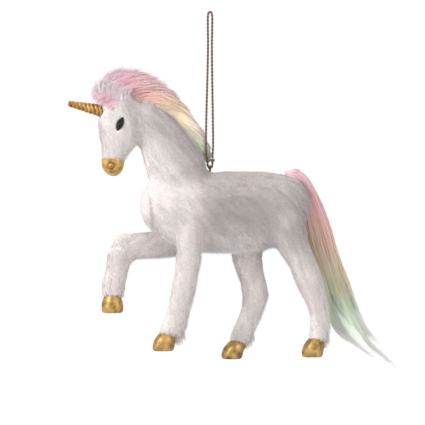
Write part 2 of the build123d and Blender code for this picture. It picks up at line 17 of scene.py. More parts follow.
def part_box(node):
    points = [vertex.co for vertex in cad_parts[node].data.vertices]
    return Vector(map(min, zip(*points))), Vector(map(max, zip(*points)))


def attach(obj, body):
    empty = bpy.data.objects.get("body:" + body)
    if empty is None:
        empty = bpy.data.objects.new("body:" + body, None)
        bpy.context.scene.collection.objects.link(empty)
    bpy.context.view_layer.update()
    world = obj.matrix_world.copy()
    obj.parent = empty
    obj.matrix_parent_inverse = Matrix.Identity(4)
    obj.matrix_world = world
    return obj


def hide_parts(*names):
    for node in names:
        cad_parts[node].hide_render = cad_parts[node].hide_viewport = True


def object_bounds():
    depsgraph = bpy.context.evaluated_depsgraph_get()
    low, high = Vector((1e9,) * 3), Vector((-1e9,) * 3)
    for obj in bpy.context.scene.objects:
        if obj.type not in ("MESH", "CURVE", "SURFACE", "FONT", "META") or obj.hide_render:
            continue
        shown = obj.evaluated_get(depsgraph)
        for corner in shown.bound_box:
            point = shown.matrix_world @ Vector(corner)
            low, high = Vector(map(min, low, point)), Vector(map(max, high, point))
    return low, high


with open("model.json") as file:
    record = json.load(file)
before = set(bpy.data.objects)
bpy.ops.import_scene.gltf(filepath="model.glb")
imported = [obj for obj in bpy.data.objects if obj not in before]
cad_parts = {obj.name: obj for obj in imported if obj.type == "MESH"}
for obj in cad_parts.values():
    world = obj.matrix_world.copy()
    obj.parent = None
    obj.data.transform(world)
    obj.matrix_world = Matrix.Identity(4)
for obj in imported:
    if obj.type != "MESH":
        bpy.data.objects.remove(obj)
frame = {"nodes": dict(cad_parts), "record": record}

nodes = frame["nodes"]
cad_box = [list(corner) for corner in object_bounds()]
scene = bpy.context.scene
mm = 0.001
print("CAD nodes:", len(nodes))

# %% [markdown]
# ## The camera
# The photograph is a studio side view, turned 12 degrees towards the face. A long lens far away
# keeps the near and far legs at the same scale, as the photograph does. One pixel is 0.44 mm at
# the middle of the trunk, which sets the width of the view.

# %% Make the camera
pixel = 0.44
view_turn = math.radians(-12)
view_distance = 1200 * mm
view_width = 425 * pixel * mm
view_centre = Vector((1.1, 0, -87.8)) * mm


def new_object(name, data):
    """An object in the scene that shows some data."""
    made = bpy.data.objects.new(name, data)
    scene.collection.objects.link(made)
    return made


def place_facing(thing, place, back):
    """Puts a lamp or a camera at a place, with its back turned to a direction."""
    thing.location = place
    thing.rotation_euler = back.to_track_quat("Z", "Y").to_euler()


lens = bpy.data.cameras.new("camera")
lens.sensor_width = 36
lens.lens = lens.sensor_width * view_distance / view_width
lens.clip_end = 20
scene.camera = new_object("camera", lens)
view_back = Vector((math.sin(view_turn), -math.cos(view_turn), 0))
place_facing(scene.camera, view_centre + view_back * view_distance, view_back)
print("lens", round(lens.lens, 1), "mm")

# %% [markdown]
# ## Helpers for colours and nodes
# Colours are easier to choose as they look on a screen, and shaders want them as light, so one
# helper turns the first into the second. The other wires shader or geometry nodes: each of its
# calls adds a node, fills its sockets and gives what comes out of it.


# %% Define the helpers
def light(red, green, blue):
    """A screen colour, 0 to 255, as the linear colour that a shader wants."""
    parts = [c / 255 for c in (red, green, blue)]
    return tuple(p / 12.92 if p <= 0.04045 else ((p + 0.055) / 1.055) ** 2.4 for p in parts) + (1,)


white = (1, 1, 1, 1)
black = (0, 0, 0, 1)


class Graph:
    """A node tree that grows by short calls. A value is a number, a colour or another output."""

    families = ("ShaderNode", "FunctionNode", "GeometryNode", "")

    def __init__(self, tree):
        self.tree = tree

    def fill(self, socket, value):
        """Sets an input to a value, or links it to an output."""
        if isinstance(value, bpy.types.NodeSocket):
            self.tree.links.new(value, socket)
        else:
            socket.default_value = value

    def node(self, kind, *numbered, **named):
        """Adds a node by its type, without the family name.

        Values in order fill its sockets, and None leaves one as it is. A name with a capital is a
        socket, with _ for each space, and one in small letters is a setting of the node."""
        family = next(start for start in self.families if hasattr(bpy.types, start + kind))
        made = self.tree.nodes.new(family + kind)
        values = dict(enumerate(numbered))
        for name, value in named.items():
            if name.islower():
                setattr(made, name, value)
            else:
                values[name.replace("_", " ")] = value
        for key, value in values.items():
            if value is not None:
                self.fill(made.inputs[key], value)
        return made

    def out(self, kind, *numbered, get=0, **named):
        """Adds a node and gives one of its outputs."""
        return self.node(kind, *numbered, **named).outputs[get]

    def maths(self, operation, first, *others):
        """One operation along its values, from the left, or on a single value."""
        for other in others or (0.0,):
            first = self.out("Math", first, other, operation=operation)
        return first

    def plus(self, *values):
        return self.maths("ADD", *values)

    def minus(self, *values):
        return self.maths("SUBTRACT", *values)

    def times(self, *values):
        return self.maths("MULTIPLY", *values)

    def vectors(self, operation, first, *others):
        """One operation along its vectors, from the left, or on a single vector."""
        for other in others or ((0, 0, 0),):
            first = self.out("VectorMath", first, other, operation=operation)
        return first

    def scaled(self, vector, factor):
        return self.out("VectorMath", vector, Scale=factor, operation="SCALE")


# %% [markdown]
# ## Light and ground
# Studio light on white: one large soft lamp from the left and a little above, where the face and
# the chest are brightest, a weaker one from the front, a faint one from above, and a pale world.
# The floor lies below the view. The white behind the object is the world as the camera and
# reflections see it, so it adds no light to the fur.

# %% Make the light and the ground
lamps = {
    "key_lamp": ((-0.78, -0.48, 0.25), 0.5, 6.3),
    "fill_lamp": ((0.6, -0.9, -0.05), 0.6, 3.8),
    "top_lamp": ((0.0, 0.1, 0.8), 0.5, 1.5),
}
for name, (place, size, power) in lamps.items():
    lamp = bpy.data.lights.new(name, "AREA")
    lamp.shape = "SQUARE"
    lamp.size = size
    lamp.energy = power
    place_facing(new_object(name, lamp), place, Vector(place) - view_centre)


def empty_graph(owner):
    """The graph of a world or a material, with no nodes in it yet."""
    owner.use_nodes = True
    owner.node_tree.nodes.clear()
    return Graph(owner.node_tree)


def make_world(strength):
    """A pale even world that the camera and reflections see as white."""
    scene.world = bpy.data.worlds.new("studio")
    net = empty_graph(scene.world)
    path = net.node("LightPath").outputs
    rays = [path[f"Is {kind} Ray"] for kind in ("Camera", "Glossy", "Transmission")]
    seen = net.maths("MAXIMUM", *rays)
    level = net.out("MapRange", Value=seen, To_Min=strength, To_Max=1.0)
    net.node("OutputWorld", net.out("Background", white, level))


def make_floor(height, half):
    """A wide pale floor that turns white in the camera's view but keeps a soft shadow."""
    mesh = bpy.data.meshes.new("floor")
    corners = [(-half, -half), (half, -half), (half, half), (-half, half)]
    mesh.from_pydata([(x, y, height) for x, y in corners], [], [(0, 1, 2, 3)])
    material = bpy.data.materials.new("floor_white")
    net = empty_graph(material)
    path = net.node("LightPath").outputs
    share = net.times(net.maths("MAXIMUM", path["Is Camera Ray"], path["Is Glossy Ray"]), 0.85)
    matte = net.out("BsdfDiffuse", (0.92, 0.92, 0.92, 1))
    glow = net.out("Emission", white, 1.09)
    net.node("OutputMaterial", net.out("MixShader", share, matte, glow))
    mesh.materials.append(material)
    floor = new_object("floor", mesh)


make_world(strength=0.58)
floor_height = cad_box[0][2] - 30 * mm
make_floor(floor_height, half=6.0)
scene.view_settings.view_transform = "Standard"
print("lamps:", len(lamps), "floor at", round(floor_height / mm), "mm")

# %% [markdown]
# ## The finishes
# Every finish is a node material that reads Object coordinates, or an attribute that the piece
# itself carries. Strands carry two: *along*, which runs from 0 at a strand's root to 1 at its tip,
# and *shade*, a number from 0 to 1 for each strand. Dyed hair carries *band* as well.


# %% Start a material
class Finish(Graph):
    """A Principled material, whose shader's inputs are given by name with _ for each space."""

    def __init__(self, name, **constants):
        self.material = bpy.data.materials.new(name)
        self.material.use_nodes = True
        super().__init__(self.material.node_tree)
        self.give(**constants)

    def give(self, **values):
        """Fills inputs of the shader and gives the material."""
        inputs = self.tree.nodes["Principled BSDF"].inputs
        for name, value in values.items():
            self.fill(inputs[name.replace("_", " ")], value)
        return self.material

    def ramp(self, factor, *stops):
        """A colour ramp through (place, colour) stops."""
        node = self.node("ValToRGB", factor)
        elements = node.color_ramp.elements
        while len(elements) < len(stops):
            elements.new(0.5)
        for element, (place, colour) in zip(elements, stops):
            element.position = place
            element.color = colour
        return node.outputs["Color"]

    def mix(self, factor, one, other, blend="MIX"):
        node = self.node("Mix", factor, data_type="RGBA", blend_type=blend)
        self.fill(node.inputs[6], one)
        self.fill(node.inputs[7], other)
        return node.outputs[2]

    def tint(self, colour, *shades):
        """A colour multiplied by each shade in turn."""
        for shade in shades:
            colour = self.mix(1.0, colour, shade, "MULTIPLY")
        return colour

    def noise(self, scale, detail=3.0):
        """Noise on Object coordinates, in features per metre."""
        place = self.out("TexCoord", get="Object")
        return self.out("TexNoise", Vector=place, Scale=scale, Detail=detail, get="Fac")

    def attribute(self, name):
        return self.out("Attribute", attribute_name=name, get="Fac")

    def bump(self, height, strength, distance):
        return self.out("Bump", Height=height, Strength=strength, Distance=distance * mm)


# %% [markdown]
# ### White pile
# Short white fur is bright at its tips, and its roots are painted greyer, as shade down between
# the strands. The backing and the pile share one palette. A broad, faint pattern warms some
# tufts and cools others, as on real plush. Shade is also painted onto the back, the rump, the
# upper neck and a fold in the chest, where the lamps leave the coat greyer than the chest and the
# legs; the skin carries it in an attribute of its own.

# %% Make the white pile
fur_tip = light(247, 242, 240)
painted_root_shade = light(214, 207, 205)
fur_warm = light(247, 238, 236)
fur_cool = light(240, 237, 235)
# Painted shade: the grey given to the back, the upper neck and the chest's fold, where the lamps
# leave shade.
fur_painted_shade = light(206, 204, 203)


def make_fur():
    """The finish of the strands: roots painted grey as shade deep in the pile, bright tips, soft
    tufts of warm and cool.
    """
    net = Finish("white_fur", Roughness=0.85, Sheen_Weight=0.2, Sheen_Roughness=0.5)
    tuft = net.ramp(net.noise(90.0), (0.35, fur_cool), (0.5, fur_tip), (0.68, fur_warm))
    # Painted shade: strands are greyed towards the root, where shade falls between them.
    deep = net.ramp(net.attribute("along"), (0.0, painted_root_shade), (0.6, white))
    each = net.ramp(net.attribute("shade"), (0.1, (0.84, 0.83, 0.83, 1)), (0.75, white))
    # Painted shade: greys the strands where the lamps leave the coat in shade.
    painted_shade = net.ramp(net.attribute("painted_shade"), (0.0, white), (1.0, fur_painted_shade))
    return net.give(Base_Color=net.tint(tuft, deep, each, painted_shade))


def make_backing():
    """The woven backing under the pile, seen only between strands."""
    net = Finish("fur_backing", Roughness=0.95, Sheen_Weight=0.2)
    fine = net.noise(900.0, 2.0)
    weave = net.ramp(fine, (0.3, light(224, 217, 215)), (0.7, light(237, 231, 229)))
    # Painted shade, as on the strands.
    painted_shade = net.ramp(net.attribute("painted_shade"), (0.0, white), (1.0, fur_painted_shade))
    return net.give(Base_Color=net.tint(weave, painted_shade), Normal=net.bump(fine, 0.4, 0.3))


fur = make_fur()
backing = make_backing()
print("pile materials:", fur.name, backing.name)

# %% [markdown]
# ### Dyed hair
# The mane and the tail are dyed in bands that run into each other. Each strand carries the number
# of its band, and the close hair beneath reads it from Object coordinates, along a line. Strands
# are undyed at the root and go paler towards the tip, each with its own small shift of brightness,
# and a few are painted pale as highlights.


# %% Make the dyed hair
def make_hair(name, stops, pale, tips, roots):
    """Hair in the colours of its bands, a few strands painted pale as highlights.

    tips and roots say how pale its two ends are.
    """
    net = Finish(name, Roughness=0.45, Sheen_Weight=0.8, Sheen_Roughness=0.5)
    along = net.attribute("along")
    shade = net.attribute("shade")
    wander = net.times(net.minus(net.noise(140.0), 0.5), 0.16)
    colour = net.ramp(net.plus(net.attribute("band"), wander), *stops)
    tip = net.out("MapRange", Value=along, From_Min=0.4, From_Max=1.0, To_Max=tips)
    colour = net.mix(tip, colour, pale)
    root = net.ramp(along, (0.02, (roots, roots, roots, 1)), (0.2, black))
    colour = net.mix(root, colour, fur_tip)
    each = net.ramp(shade, (0.0, (0.92, 0.90, 0.90, 1)), (0.4, white))
    # Painted highlight: a few strands are mixed towards pale, for the sheen on silky hair.
    streak = net.ramp(shade, (0.8, black), (0.95, (0.6, 0.6, 0.6, 1)))
    return net.give(Base_Color=net.mix(streak, net.tint(colour, each), pale))


def make_under_hair(name, start, end, stops):
    """The close hair beneath, whose bands run from one point to another."""
    net = Finish(name, Roughness=0.7, Sheen_Weight=0.2)
    way = Vector(end) - Vector(start)
    offset = net.vectors("SUBTRACT", net.out("TexCoord", get="Object"), tuple(Vector(start) * mm))
    scale = tuple(way / (way.length_squared * mm))
    band = net.out("VectorMath", offset, scale, operation="DOT_PRODUCT", get="Value")
    dark = net.ramp(net.noise(500.0), (0.3, (0.95, 0.94, 0.94, 1)), (0.7, white))
    return net.give(Base_Color=net.tint(net.ramp(band, *stops), dark))


dyes = {
    "blush": (255, 236, 242), "lilac": (255, 220, 244), "pink": (255, 196, 212),
    "coral": (254, 190, 190), "peach": (254, 206, 180), "straw": (252, 220, 168),
    "cream": (252, 238, 204), "sage": (212, 232, 198), "mauve": (250, 208, 222),
    "dusty": (246, 190, 206), "rose": (250, 184, 190), "tan": (254, 206, 172),
    "leaf": (236, 230, 180), "mint": (218, 240, 212), "wisp": (252, 249, 249),
    "candy": (250, 186, 206), "shell": (252, 204, 220), "milk": (255, 240, 244),
}


def bands(**places):
    """Stops for a ramp, from the names of dyes and where each is purest."""
    return [(place, light(*dyes[name])) for name, place in places.items()]


mane_stops = bands(
    blush=0.0, lilac=0.12, pink=0.25, coral=0.38, peach=0.48, straw=0.60, cream=0.76, sage=0.90,
)
tail_stops = bands(mauve=0.0, dusty=0.10, rose=0.30, tan=0.43, leaf=0.56, mint=0.68, wisp=0.92)
forelock_stops = bands(candy=0.0, shell=0.5, milk=1.0)
mane_hair = make_hair("mane_hair", mane_stops, light(255, 240, 242), tips=0.6, roots=0.75)
mane_under = make_under_hair("mane_under_hair", (-52, 0, -28), (0, 0, -64), mane_stops)
tail_hair = make_hair("tail_hair", tail_stops, light(254, 244, 242), tips=0.35, roots=0.1)
tail_under = make_under_hair("tail_under_hair", (38, 0, -68), (72, 0, -156), tail_stops)
forelock_tip = light(255, 236, 240)
forelock_hair = make_hair("forelock_hair", forelock_stops, forelock_tip, tips=0.5, roots=0.3)
print("dyes:", len(dyes), "hair materials:", mane_hair.name, tail_hair.name, forelock_hair.name)

# %% [markdown]
# ### Antique gold, black beads, brass and cord
# The gold is paint over a moulded piece: bright on the ridges, brown where the brush left it thin,
# with shade painted on where it turns away from the view.
# The beads are glass-smooth black. The cord is brown yarn with a fine fuzz of bump.


# %% Make the other finishes
def make_gold(name, bright, worn, grain):
    """Antique gold paint with a brushed grain, darker in hollows, and painted shade where it turns
    away.
    """
    net = Finish(name, Metallic=0.65)
    mottle = net.noise(grain, 5.0)
    paint = net.ramp(mottle, (0.32, light(*worn)), (0.62, light(*bright)))
    hollow = net.ramp(net.attribute("groove"), (0.0, white), (1.0, (0.52, 0.42, 0.30, 1)))
    away = net.out("LayerWeight", Blend=0.3, get="Facing")
    # Painted shade: the gold is darkened where it turns away from the view.
    painted_rim_shade = net.ramp(away, (0.35, white), (0.9, (0.42, 0.34, 0.24, 1)))
    rough = net.out("MapRange", Value=mottle, To_Min=0.58, To_Max=0.34)
    relief = net.bump(mottle, 0.35, 0.25)
    return net.give(Base_Color=net.tint(paint, hollow, painted_rim_shade), Roughness=rough, Normal=relief)


def make_plain(name, bright, dark, scale, detail=3.0, relief=None, **constants):
    """A finish of two mixed colours with a fine grain.

    relief is the strength and the depth of its bump."""
    net = Finish(name, **constants)
    grain = net.noise(scale, detail)
    if relief:
        net.give(Normal=net.bump(grain, *relief))
    return net.give(Base_Color=net.ramp(grain, (0.3, light(*dark)), (0.7, light(*bright))))


horn_gold = make_gold("horn_gold", (214, 172, 104), (142, 104, 58), 380.0)
hoof_gold = make_gold("hoof_gold", (190, 154, 92), (108, 82, 46), 340.0)
muzzle_gold = make_gold("muzzle_gold", (212, 174, 102), (146, 112, 58), 420.0)
bead_black = make_plain(
    "bead_black", (30, 22, 24), (14, 10, 12), 700.0, Roughness=0.15, Specular_IOR_Level=0.25
)
cord_finish = {"scale": 2600.0, "detail": 4.0, "relief": (0.6, 0.1), "Roughness": 0.8}
cord_brown = make_plain("cord_brown", (132, 109, 96), (62, 48, 43), **cord_finish, Sheen_Weight=0.2)
metal = {"scale": 1200.0, "Roughness": 0.4, "Metallic": 1.0}
finishes = {
    "eye_brass": make_plain("eye_brass", (150, 116, 78), (92, 70, 50), **metal),
    "wire_steel": make_plain("wire_steel", (190, 190, 194), (140, 140, 146), **metal),
    "core_pulp": make_plain(
        "core_pulp", (190, 176, 154), (158, 142, 120), 400.0, 6.0, (0.5, 0.3), Roughness=0.95
    ),
}
print("materials made:", len(bpy.data.materials))

# %% [markdown]
# ## Dressing the CAD nodes that stay
# The cores and wires are hidden inside the fur, and the wire eye shows as it is. Each keeps its
# CAD shape and gets the finish of its material slot.

# %% Dress the nodes that stay
dressed = []
for row in frame["record"]["subparts"]:
    finish = finishes.get(row["material_slot"])
    if finish:
        materials = nodes[row["node"]].data.materials
        materials.clear()
        materials.append(finish)
        dressed.append(row["node"])
print("dressed in place:", len(dressed))

# %% [markdown]
# ## Rounding a faceted piece
# The CAD forms are flat facets. A copy of a piece, or of several that are sewn together, is
# turned into one even skin by a voxel remesh, which also closes seams finer than a voxel, and
# then smoothed. Volume lost at tight curves is given back by pushing the skin out a little.


# %% Define the rounding
def joined_copy(name, parts):
    """One mesh object from copies of CAD nodes, with each node's loose triangles merged."""
    form = bmesh.new()
    for part in parts:
        form.from_mesh(nodes[part].data)
    bmesh.ops.remove_doubles(form, verts=form.verts, dist=0.0005 * mm)
    mesh = bpy.data.meshes.new(name)
    form.to_mesh(mesh)
    form.free()
    return new_object(name, mesh)


def evaluated_mesh(piece):
    """A mesh of what an object is once its modifiers have run."""
    bpy.context.view_layer.update()
    graph = bpy.context.evaluated_depsgraph_get()
    final = piece.evaluated_get(graph)
    return bpy.data.meshes.new_from_object(final, preserve_all_data_layers=True, depsgraph=graph)


def settle(piece):
    """Replaces a piece's mesh with what its modifiers make of it, and removes them."""
    mesh = evaluated_mesh(piece)
    piece.modifiers.clear()
    old = piece.data
    piece.data = mesh
    bpy.data.meshes.remove(old)
    mesh.name = piece.name
    return piece


def keep_largest(mesh):
    """Drops every island of a mesh but the largest."""
    form = bmesh.new()
    form.from_mesh(mesh)
    left = set(form.verts)
    islands = []
    while left:
        front = {left.pop()}
        island = set(front)
        while front:
            front = {edge.other_vert(vert) for vert in front for edge in vert.link_edges} - island
            island |= front
        left -= island
        islands.append(island)
    largest = max(islands, key=len)
    bmesh.ops.delete(form, geom=[v for v in form.verts if v not in largest], context="VERTS")
    form.to_mesh(mesh)
    form.free()


def point_rows(mesh, name="co"):
    """The places or the normals of a mesh's points, a row for each."""
    values = np.empty(len(mesh.vertices) * 3)
    mesh.vertices.foreach_get(name, values)
    return values.reshape(-1, 3)


def move_points(mesh, places):
    mesh.vertices.foreach_set("co", places.ravel())
    mesh.update()


def push_out(mesh, heights):
    """Moves points along their normals, by one height in mm for all or one for each."""
    steps = np.broadcast_to(heights, len(mesh.vertices)) * mm
    move_points(mesh, point_rows(mesh) + point_rows(mesh, "normal") * steps[:, None])


def rounded(name, parts, voxel, rounds, push):
    """An even, smooth skin over CAD nodes. The voxel and the push are in mm."""
    piece = joined_copy(name, parts)
    remesh = piece.modifiers.new("voxels", "REMESH")
    remesh.mode = "VOXEL"
    remesh.voxel_size = voxel * mm
    smooth = piece.modifiers.new("smooth", "SMOOTH")
    smooth.factor = 0.5
    smooth.iterations = rounds
    mesh = settle(piece).data
    keep_largest(mesh)
    mesh.polygons.foreach_set("use_smooth", [True] * len(mesh.polygons))
    push_out(mesh, push)
    return piece


def finish_piece(piece, material, slot, *replaced, body="figurine"):
    """Gives a piece its material and body, and hides the nodes it replaces.

    slot is not used.
    """
    piece.data.materials.clear()
    piece.data.materials.append(material)
    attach(piece, body)
    if replaced:
        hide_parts(*replaced)


# %% [markdown]
# ## The coat's backing
# The trunk, neck, head and legs are covered in cut pieces of plush, sewn so closely that the
# seams vanish. One skin is made over all of them. It lies a little inside the true outline,
# because the strands stand proud of it.

# %% Make the coat's backing
fur_nodes = [name for name in nodes if name.endswith("_fur")]
core_nodes = [name for name in nodes if name.endswith("_core")]
pile_inset = 0.15
coat_nodes = fur_nodes + core_nodes + ["muzzle_cap"]
coat = rounded("coat_backing", coat_nodes, voxel=0.6, rounds=10, push=-pile_inset)
print("coat:", len(coat.data.vertices), "points")

# %% [markdown]
# ## Softening the seams
# Where two pieces of plush meet, the CAD forms make a crease. On the real animal the shoulder, the
# haunch and the neck run into the trunk. Points near such a seam are drawn towards their
# neighbours, again and again, and the pull fades to nothing a few millimetres away. The jaw keeps
# most of its edge, so the pull reaches less far there than at the crown. The raised knee is fuller
# than its two straight pieces, so the skin rises a little round it.


# %% Soften the seams
def surface_of(name):
    """A tree for finding the nearest point on a CAD node."""
    form = bmesh.new()
    form.from_mesh(nodes[name].data)
    found = BVHTree.FromBMesh(form)
    form.free()
    return found


def distance(tree, place):
    """How far a place lies from a surface."""
    return tree.find_nearest(place)[3]


def nearest_part(mesh, names):
    """For each point of a mesh, the number of the CAD node that it lies nearest to."""
    trees = [surface_of(name) for name in names]
    nearest = []
    for vertex in mesh.vertices:
        away = [distance(tree, vertex.co) for tree in trees]
        nearest.append(away.index(min(away)))
    return np.array(nearest)


def edge_ends(mesh):
    """The point numbers at the two ends of each edge."""
    edges = np.empty(len(mesh.edges) * 2, dtype=int)
    mesh.edges.foreach_get("vertices", edges)
    return edges.reshape(-1, 2).T


def averaged(values, one, other):
    """Each row as the mean of its neighbours' rows."""
    size = len(values)
    count = np.bincount(one, minlength=size) + np.bincount(other, minlength=size)
    columns = []
    for column in values.T:
        total = np.bincount(one, column[other], size) + np.bincount(other, column[one], size)
        columns.append(total / np.maximum(count, 1))
    return np.stack(columns, axis=1)


def soften(mesh, pull, rounds):
    """Smooths a mesh where pull, from 0 to 1, is high."""
    one, other = edge_ends(mesh)
    places = point_rows(mesh)
    for _ in range(rounds):
        places += pull[:, None] * 0.7 * (averaged(places, one, other) - places)
    move_points(mesh, places)


def eased(low, high, values):
    """0 below low, 1 above high and a smooth rise between."""
    share = np.clip((values - low) / (high - low), 0, 1)
    return share * share * (3 - 2 * share)


def ridge(values, middle, width):
    """1 at the middle and a soft fall on both sides."""
    return np.exp(-(((values - middle) / width) ** 2))


def near_seams(mesh, seam, reach):
    """1 at the ends of the seam edges, falling to 0 over a number of steps."""
    one, other = edge_ends(mesh)
    steps = np.full(len(mesh.vertices), float(reach))
    steps[one[seam]] = 0
    steps[other[seam]] = 0
    for _ in range(reach):
        near = steps.copy()
        np.minimum.at(near, one, steps[other] + 1)
        np.minimum.at(near, other, steps[one] + 1)
        steps = near
    return eased(0, 1, 1 - steps / reach)


def swell(mesh, centre, reach, height):
    """Raises the skin round a place, with a soft slope. All are in mm."""
    away = np.linalg.norm(point_rows(mesh) / mm - centre, axis=1)
    push_out(mesh, (1 - eased(0.3 * reach, reach, away)) * height)


body_reach = 14
crown_reach = 12
jaw_reach = 4
jaw_strength = 0.6
coat_parts = fur_nodes + ["muzzle_cap"]
head_number = coat_parts.index("head_fur")
muzzle_number = coat_parts.index("muzzle_cap")
torso_number = coat_parts.index("torso_fur")
coat_part = nearest_part(coat.data, coat_parts)
seam_one, seam_other = edge_ends(coat.data)
meets = coat_part[seam_one] != coat_part[seam_other]
on_head = np.isin(coat_part, [head_number, muzzle_number])
jaw = on_head[seam_one] | on_head[seam_other]
crown = eased(-56, -48, point_rows(coat.data)[:, 2] / mm)
pulls = [
    near_seams(coat.data, meets & ~jaw, body_reach),
    near_seams(coat.data, meets & jaw, jaw_reach) * jaw_strength,
    near_seams(coat.data, meets & jaw, crown_reach) * crown,
]
soften(coat.data, np.maximum.reduce(pulls), 70)
swell(coat.data, centre=(-40.5, 7.5, -96.5), reach=7.5, height=1.9)
print("seam edges softened:", int(meets.sum()))

# %% [markdown]
# ## Which way the pile lies
# Fur lies from the nose backwards and down. Each CAD piece says its own lay, and the directions
# are then averaged over neighbouring points, so that one runs into the next. Where gold, glass or
# hair covers the skin, *bare* keeps the strands away. The trunk's far half counts as a part of its
# own, which keeps each piece of pile a workable size. Three painted shadows are stored as well,
# where the lamps leave the coat greyer: the back and the flank, the upper neck, and the fold in
# the chest.

# %% Work out the lay
lay_of = {
    "torso_fur": (0.72, 0, -0.70),
    "neck_fur": (0.62, 0, -0.78),
    "head_fur": (0.20, 0, -0.98),
    "left_foreleg_fur": (0.12, 0, -0.99),
    "right_foreleg_upper_fur": (-0.85, 0, -0.52),
    "right_foreleg_lower_fur": (0.05, 0, -1.0),
    "left_hindleg_fur": (0.42, 0, -0.90),
    "right_hindleg_fur": (0.10, 0, -0.99),
    "muzzle_cap": (0, 0, -1),
}
hooves = ["left_fore_hoof", "right_fore_hoof", "left_hind_hoof", "right_hind_hoof"]
bare_within = {"left_eye": 0.5, "right_eye": 0.5, "horn": 0.15, **dict.fromkeys(hooves, 0.0)}


def mark(mesh, name, values, kind="FLOAT", domain="POINT"):
    """Stores values on a mesh as an attribute."""
    layer = mesh.attributes.new(name, kind, domain)
    layer.data.foreach_set("vector" if kind == "FLOAT_VECTOR" else "value", np.ravel(values))


def sink_under_gold(mesh, near):
    """Draws the skin in under the muzzle's gold, more with each step away from its edge."""
    edge_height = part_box("muzzle_cap")[1][2]
    below = (edge_height - point_rows(mesh)[:, 2]) / mm
    push_out(mesh, -1.2 * eased(0, 1.2, below) * (near == muzzle_number))


def painted_shade_of(places):
    """How much shade is painted into the coat at each point: the back, the upper neck and the fold.

    These are painted shadows, where the lamps leave the coat greyer. Each shade fades between two
    places in mm, and the fold is a thin leaning line."""
    across, depth, up = places.T / mm
    rear = eased(15, 32, across)
    back = eased(-14, 0, across) * eased(-107 - 8 * rear, -87 - 8 * rear, up) * (1 - 0.3 * rear)
    nape = 0.65 * eased(-24, -10, 0.75 * across + 0.66 * (up + 60)) * eased(-78, -66, up)
    fold_at = -28.2 + 1.3 * (-81 - up) / 16.7
    # A painted shadow along the fold in the chest.
    fold_shadow = 0.8 * ridge(across, fold_at, 0.7) * eased(-101, -96, up) * eased(-78, -83, up)
    return np.maximum.reduce([back, nape, fold_shadow * (np.abs(depth) > 3)])


def mark_lay(mesh, near):
    """Stores each face's part, and each point's lay, streak, painted shade and whether it is bare.
    """
    guards = [(surface_of(name), (reach + pile_inset) * mm) for name, reach in bare_within.items()]
    covered = [any(distance(tree, v.co) < reach for tree, reach in guards) for v in mesh.vertices]
    ways = np.array([lay_of[name] for name in coat_parts])
    ways /= np.linalg.norm(ways, axis=1)[:, None]
    lay = ways[near]
    places = point_rows(mesh)
    streak = places - 0.8 * lay * (places * lay).sum(axis=1)[:, None]
    one, other = edge_ends(mesh)
    for _ in range(40):
        lay = 0.5 * lay + 0.5 * averaged(lay, one, other)
    mark(mesh, "lay", lay, "FLOAT_VECTOR")
    mark(mesh, "streak", streak, "FLOAT_VECTOR")
    mark(mesh, "bare", np.where(near == muzzle_number, 1.0, covered))
    # Painted shade on the back, the upper neck and the chest's fold.
    mark(mesh, "painted_shade", painted_shade_of(places))
    part = [near[face.vertices[0]] for face in mesh.polygons]
    for number, face in enumerate(mesh.polygons):
        if part[number] == torso_number and face.center.y > 0:
            part[number] = len(coat_parts)
    mark(mesh, "part", part, "INT", "FACE")


sink_under_gold(coat.data, coat_part)
mark_lay(coat.data, coat_part)
pile_parts = coat_parts + ["torso_fur_far"]
print("parts with pile:", len(pile_parts) - 1)

# %% [markdown]
# ## A geometry nodes tree for pile
# Points are scattered over the skin, and a bent three-sided needle of nine triangles stands on
# each. The needle leans along the lay, with a slow noise that gathers needles into tufts. The
# tree's inputs are the part to cover, the number of needles for each square metre, their length
# and thickness, how far they stand up and the seed.


# %% Build the pile tree
class Growth(Graph):
    """A geometry node tree. Its inputs are a geometry, numbers with first values and a material."""

    def __init__(self, name, host, **numbers):
        super().__init__(bpy.data.node_groups.new(name, "GeometryNodeTree"))
        self.socket("INPUT", host, "Geometry")
        for label, value in numbers.items():
            item = self.socket("INPUT", label, "Int" if isinstance(value, int) else "Float")
            item.default_value = value
        self.socket("INPUT", "Material", "Material")
        self.socket("OUTPUT", "Geometry", "Geometry")
        self.given = self.node("NodeGroupInput").outputs

    def socket(self, side, name, kind):
        """Adds an input or an output to the tree."""
        kind = "NodeSocket" + kind
        return self.tree.interface.new_socket(name=name, in_out=side, socket_type=kind)

    def stored(self, name, kind="FLOAT"):
        """A field stored by name."""
        return self.out("InputNamedAttribute", name, data_type=kind, get="Attribute")

    def store(self, geometry, name, value, kind="FLOAT", domain="POINT"):
        """A geometry with a field stored on it by name."""
        inputs = {"Name": name, "Value": value}
        return self.out("StoreNamedAttribute", geometry, **inputs, data_type=kind, domain=domain)

    def chance(self, low, high, seed):
        """One random number for each element."""
        return self.out("RandomValue", None, None, low, high, Seed=seed, data_type="FLOAT", get=1)

    def above(self):
        """The direction at right angles to a curve and to the side."""
        return self.vectors("CROSS_PRODUCT", self.out("InputTangent"), (0, 1, 0))

    def circling(self, up, turn, radius):
        """A step round a curve: the cosine of the turn goes sideways, and its sine goes up."""
        side = self.scaled((0, 1, 0), self.times(self.maths("COSINE", turn), radius))
        rise = self.scaled(up, self.times(self.maths("SINE", turn), radius))
        return self.vectors("ADD", side, rise)

    def close(self, geometry, smooth=False):
        """Makes the instances real, paints them, hands them out and gives the tree."""
        if smooth:
            geometry = self.out("SetShadeSmooth", geometry)
        real = self.out("RealizeInstances", geometry)
        self.node("NodeGroupOutput", self.out("SetMaterial", real, Material=self.given["Material"]))
        return self.tree


def needle(net):
    """A unit needle that bends towards +X, with its place from root to tip stored on it."""
    radii = {"Radius_Top": 0.0, "Radius_Bottom": 0.5}
    sizes = {"Vertices": 3, "Side_Segments": 2, **radii, "Depth": 1.0}
    cone = net.out("MeshCone", **sizes, fill_type="NONE", get="Mesh")
    height = net.out("SeparateXYZ", net.out("InputPosition"), get="Z")
    bend = net.out("CombineXYZ", net.times(net.maths("POWER", height, 2.0), 0.35))
    return net.store(net.out("SetPosition", cone, Offset=bend), "along", height)


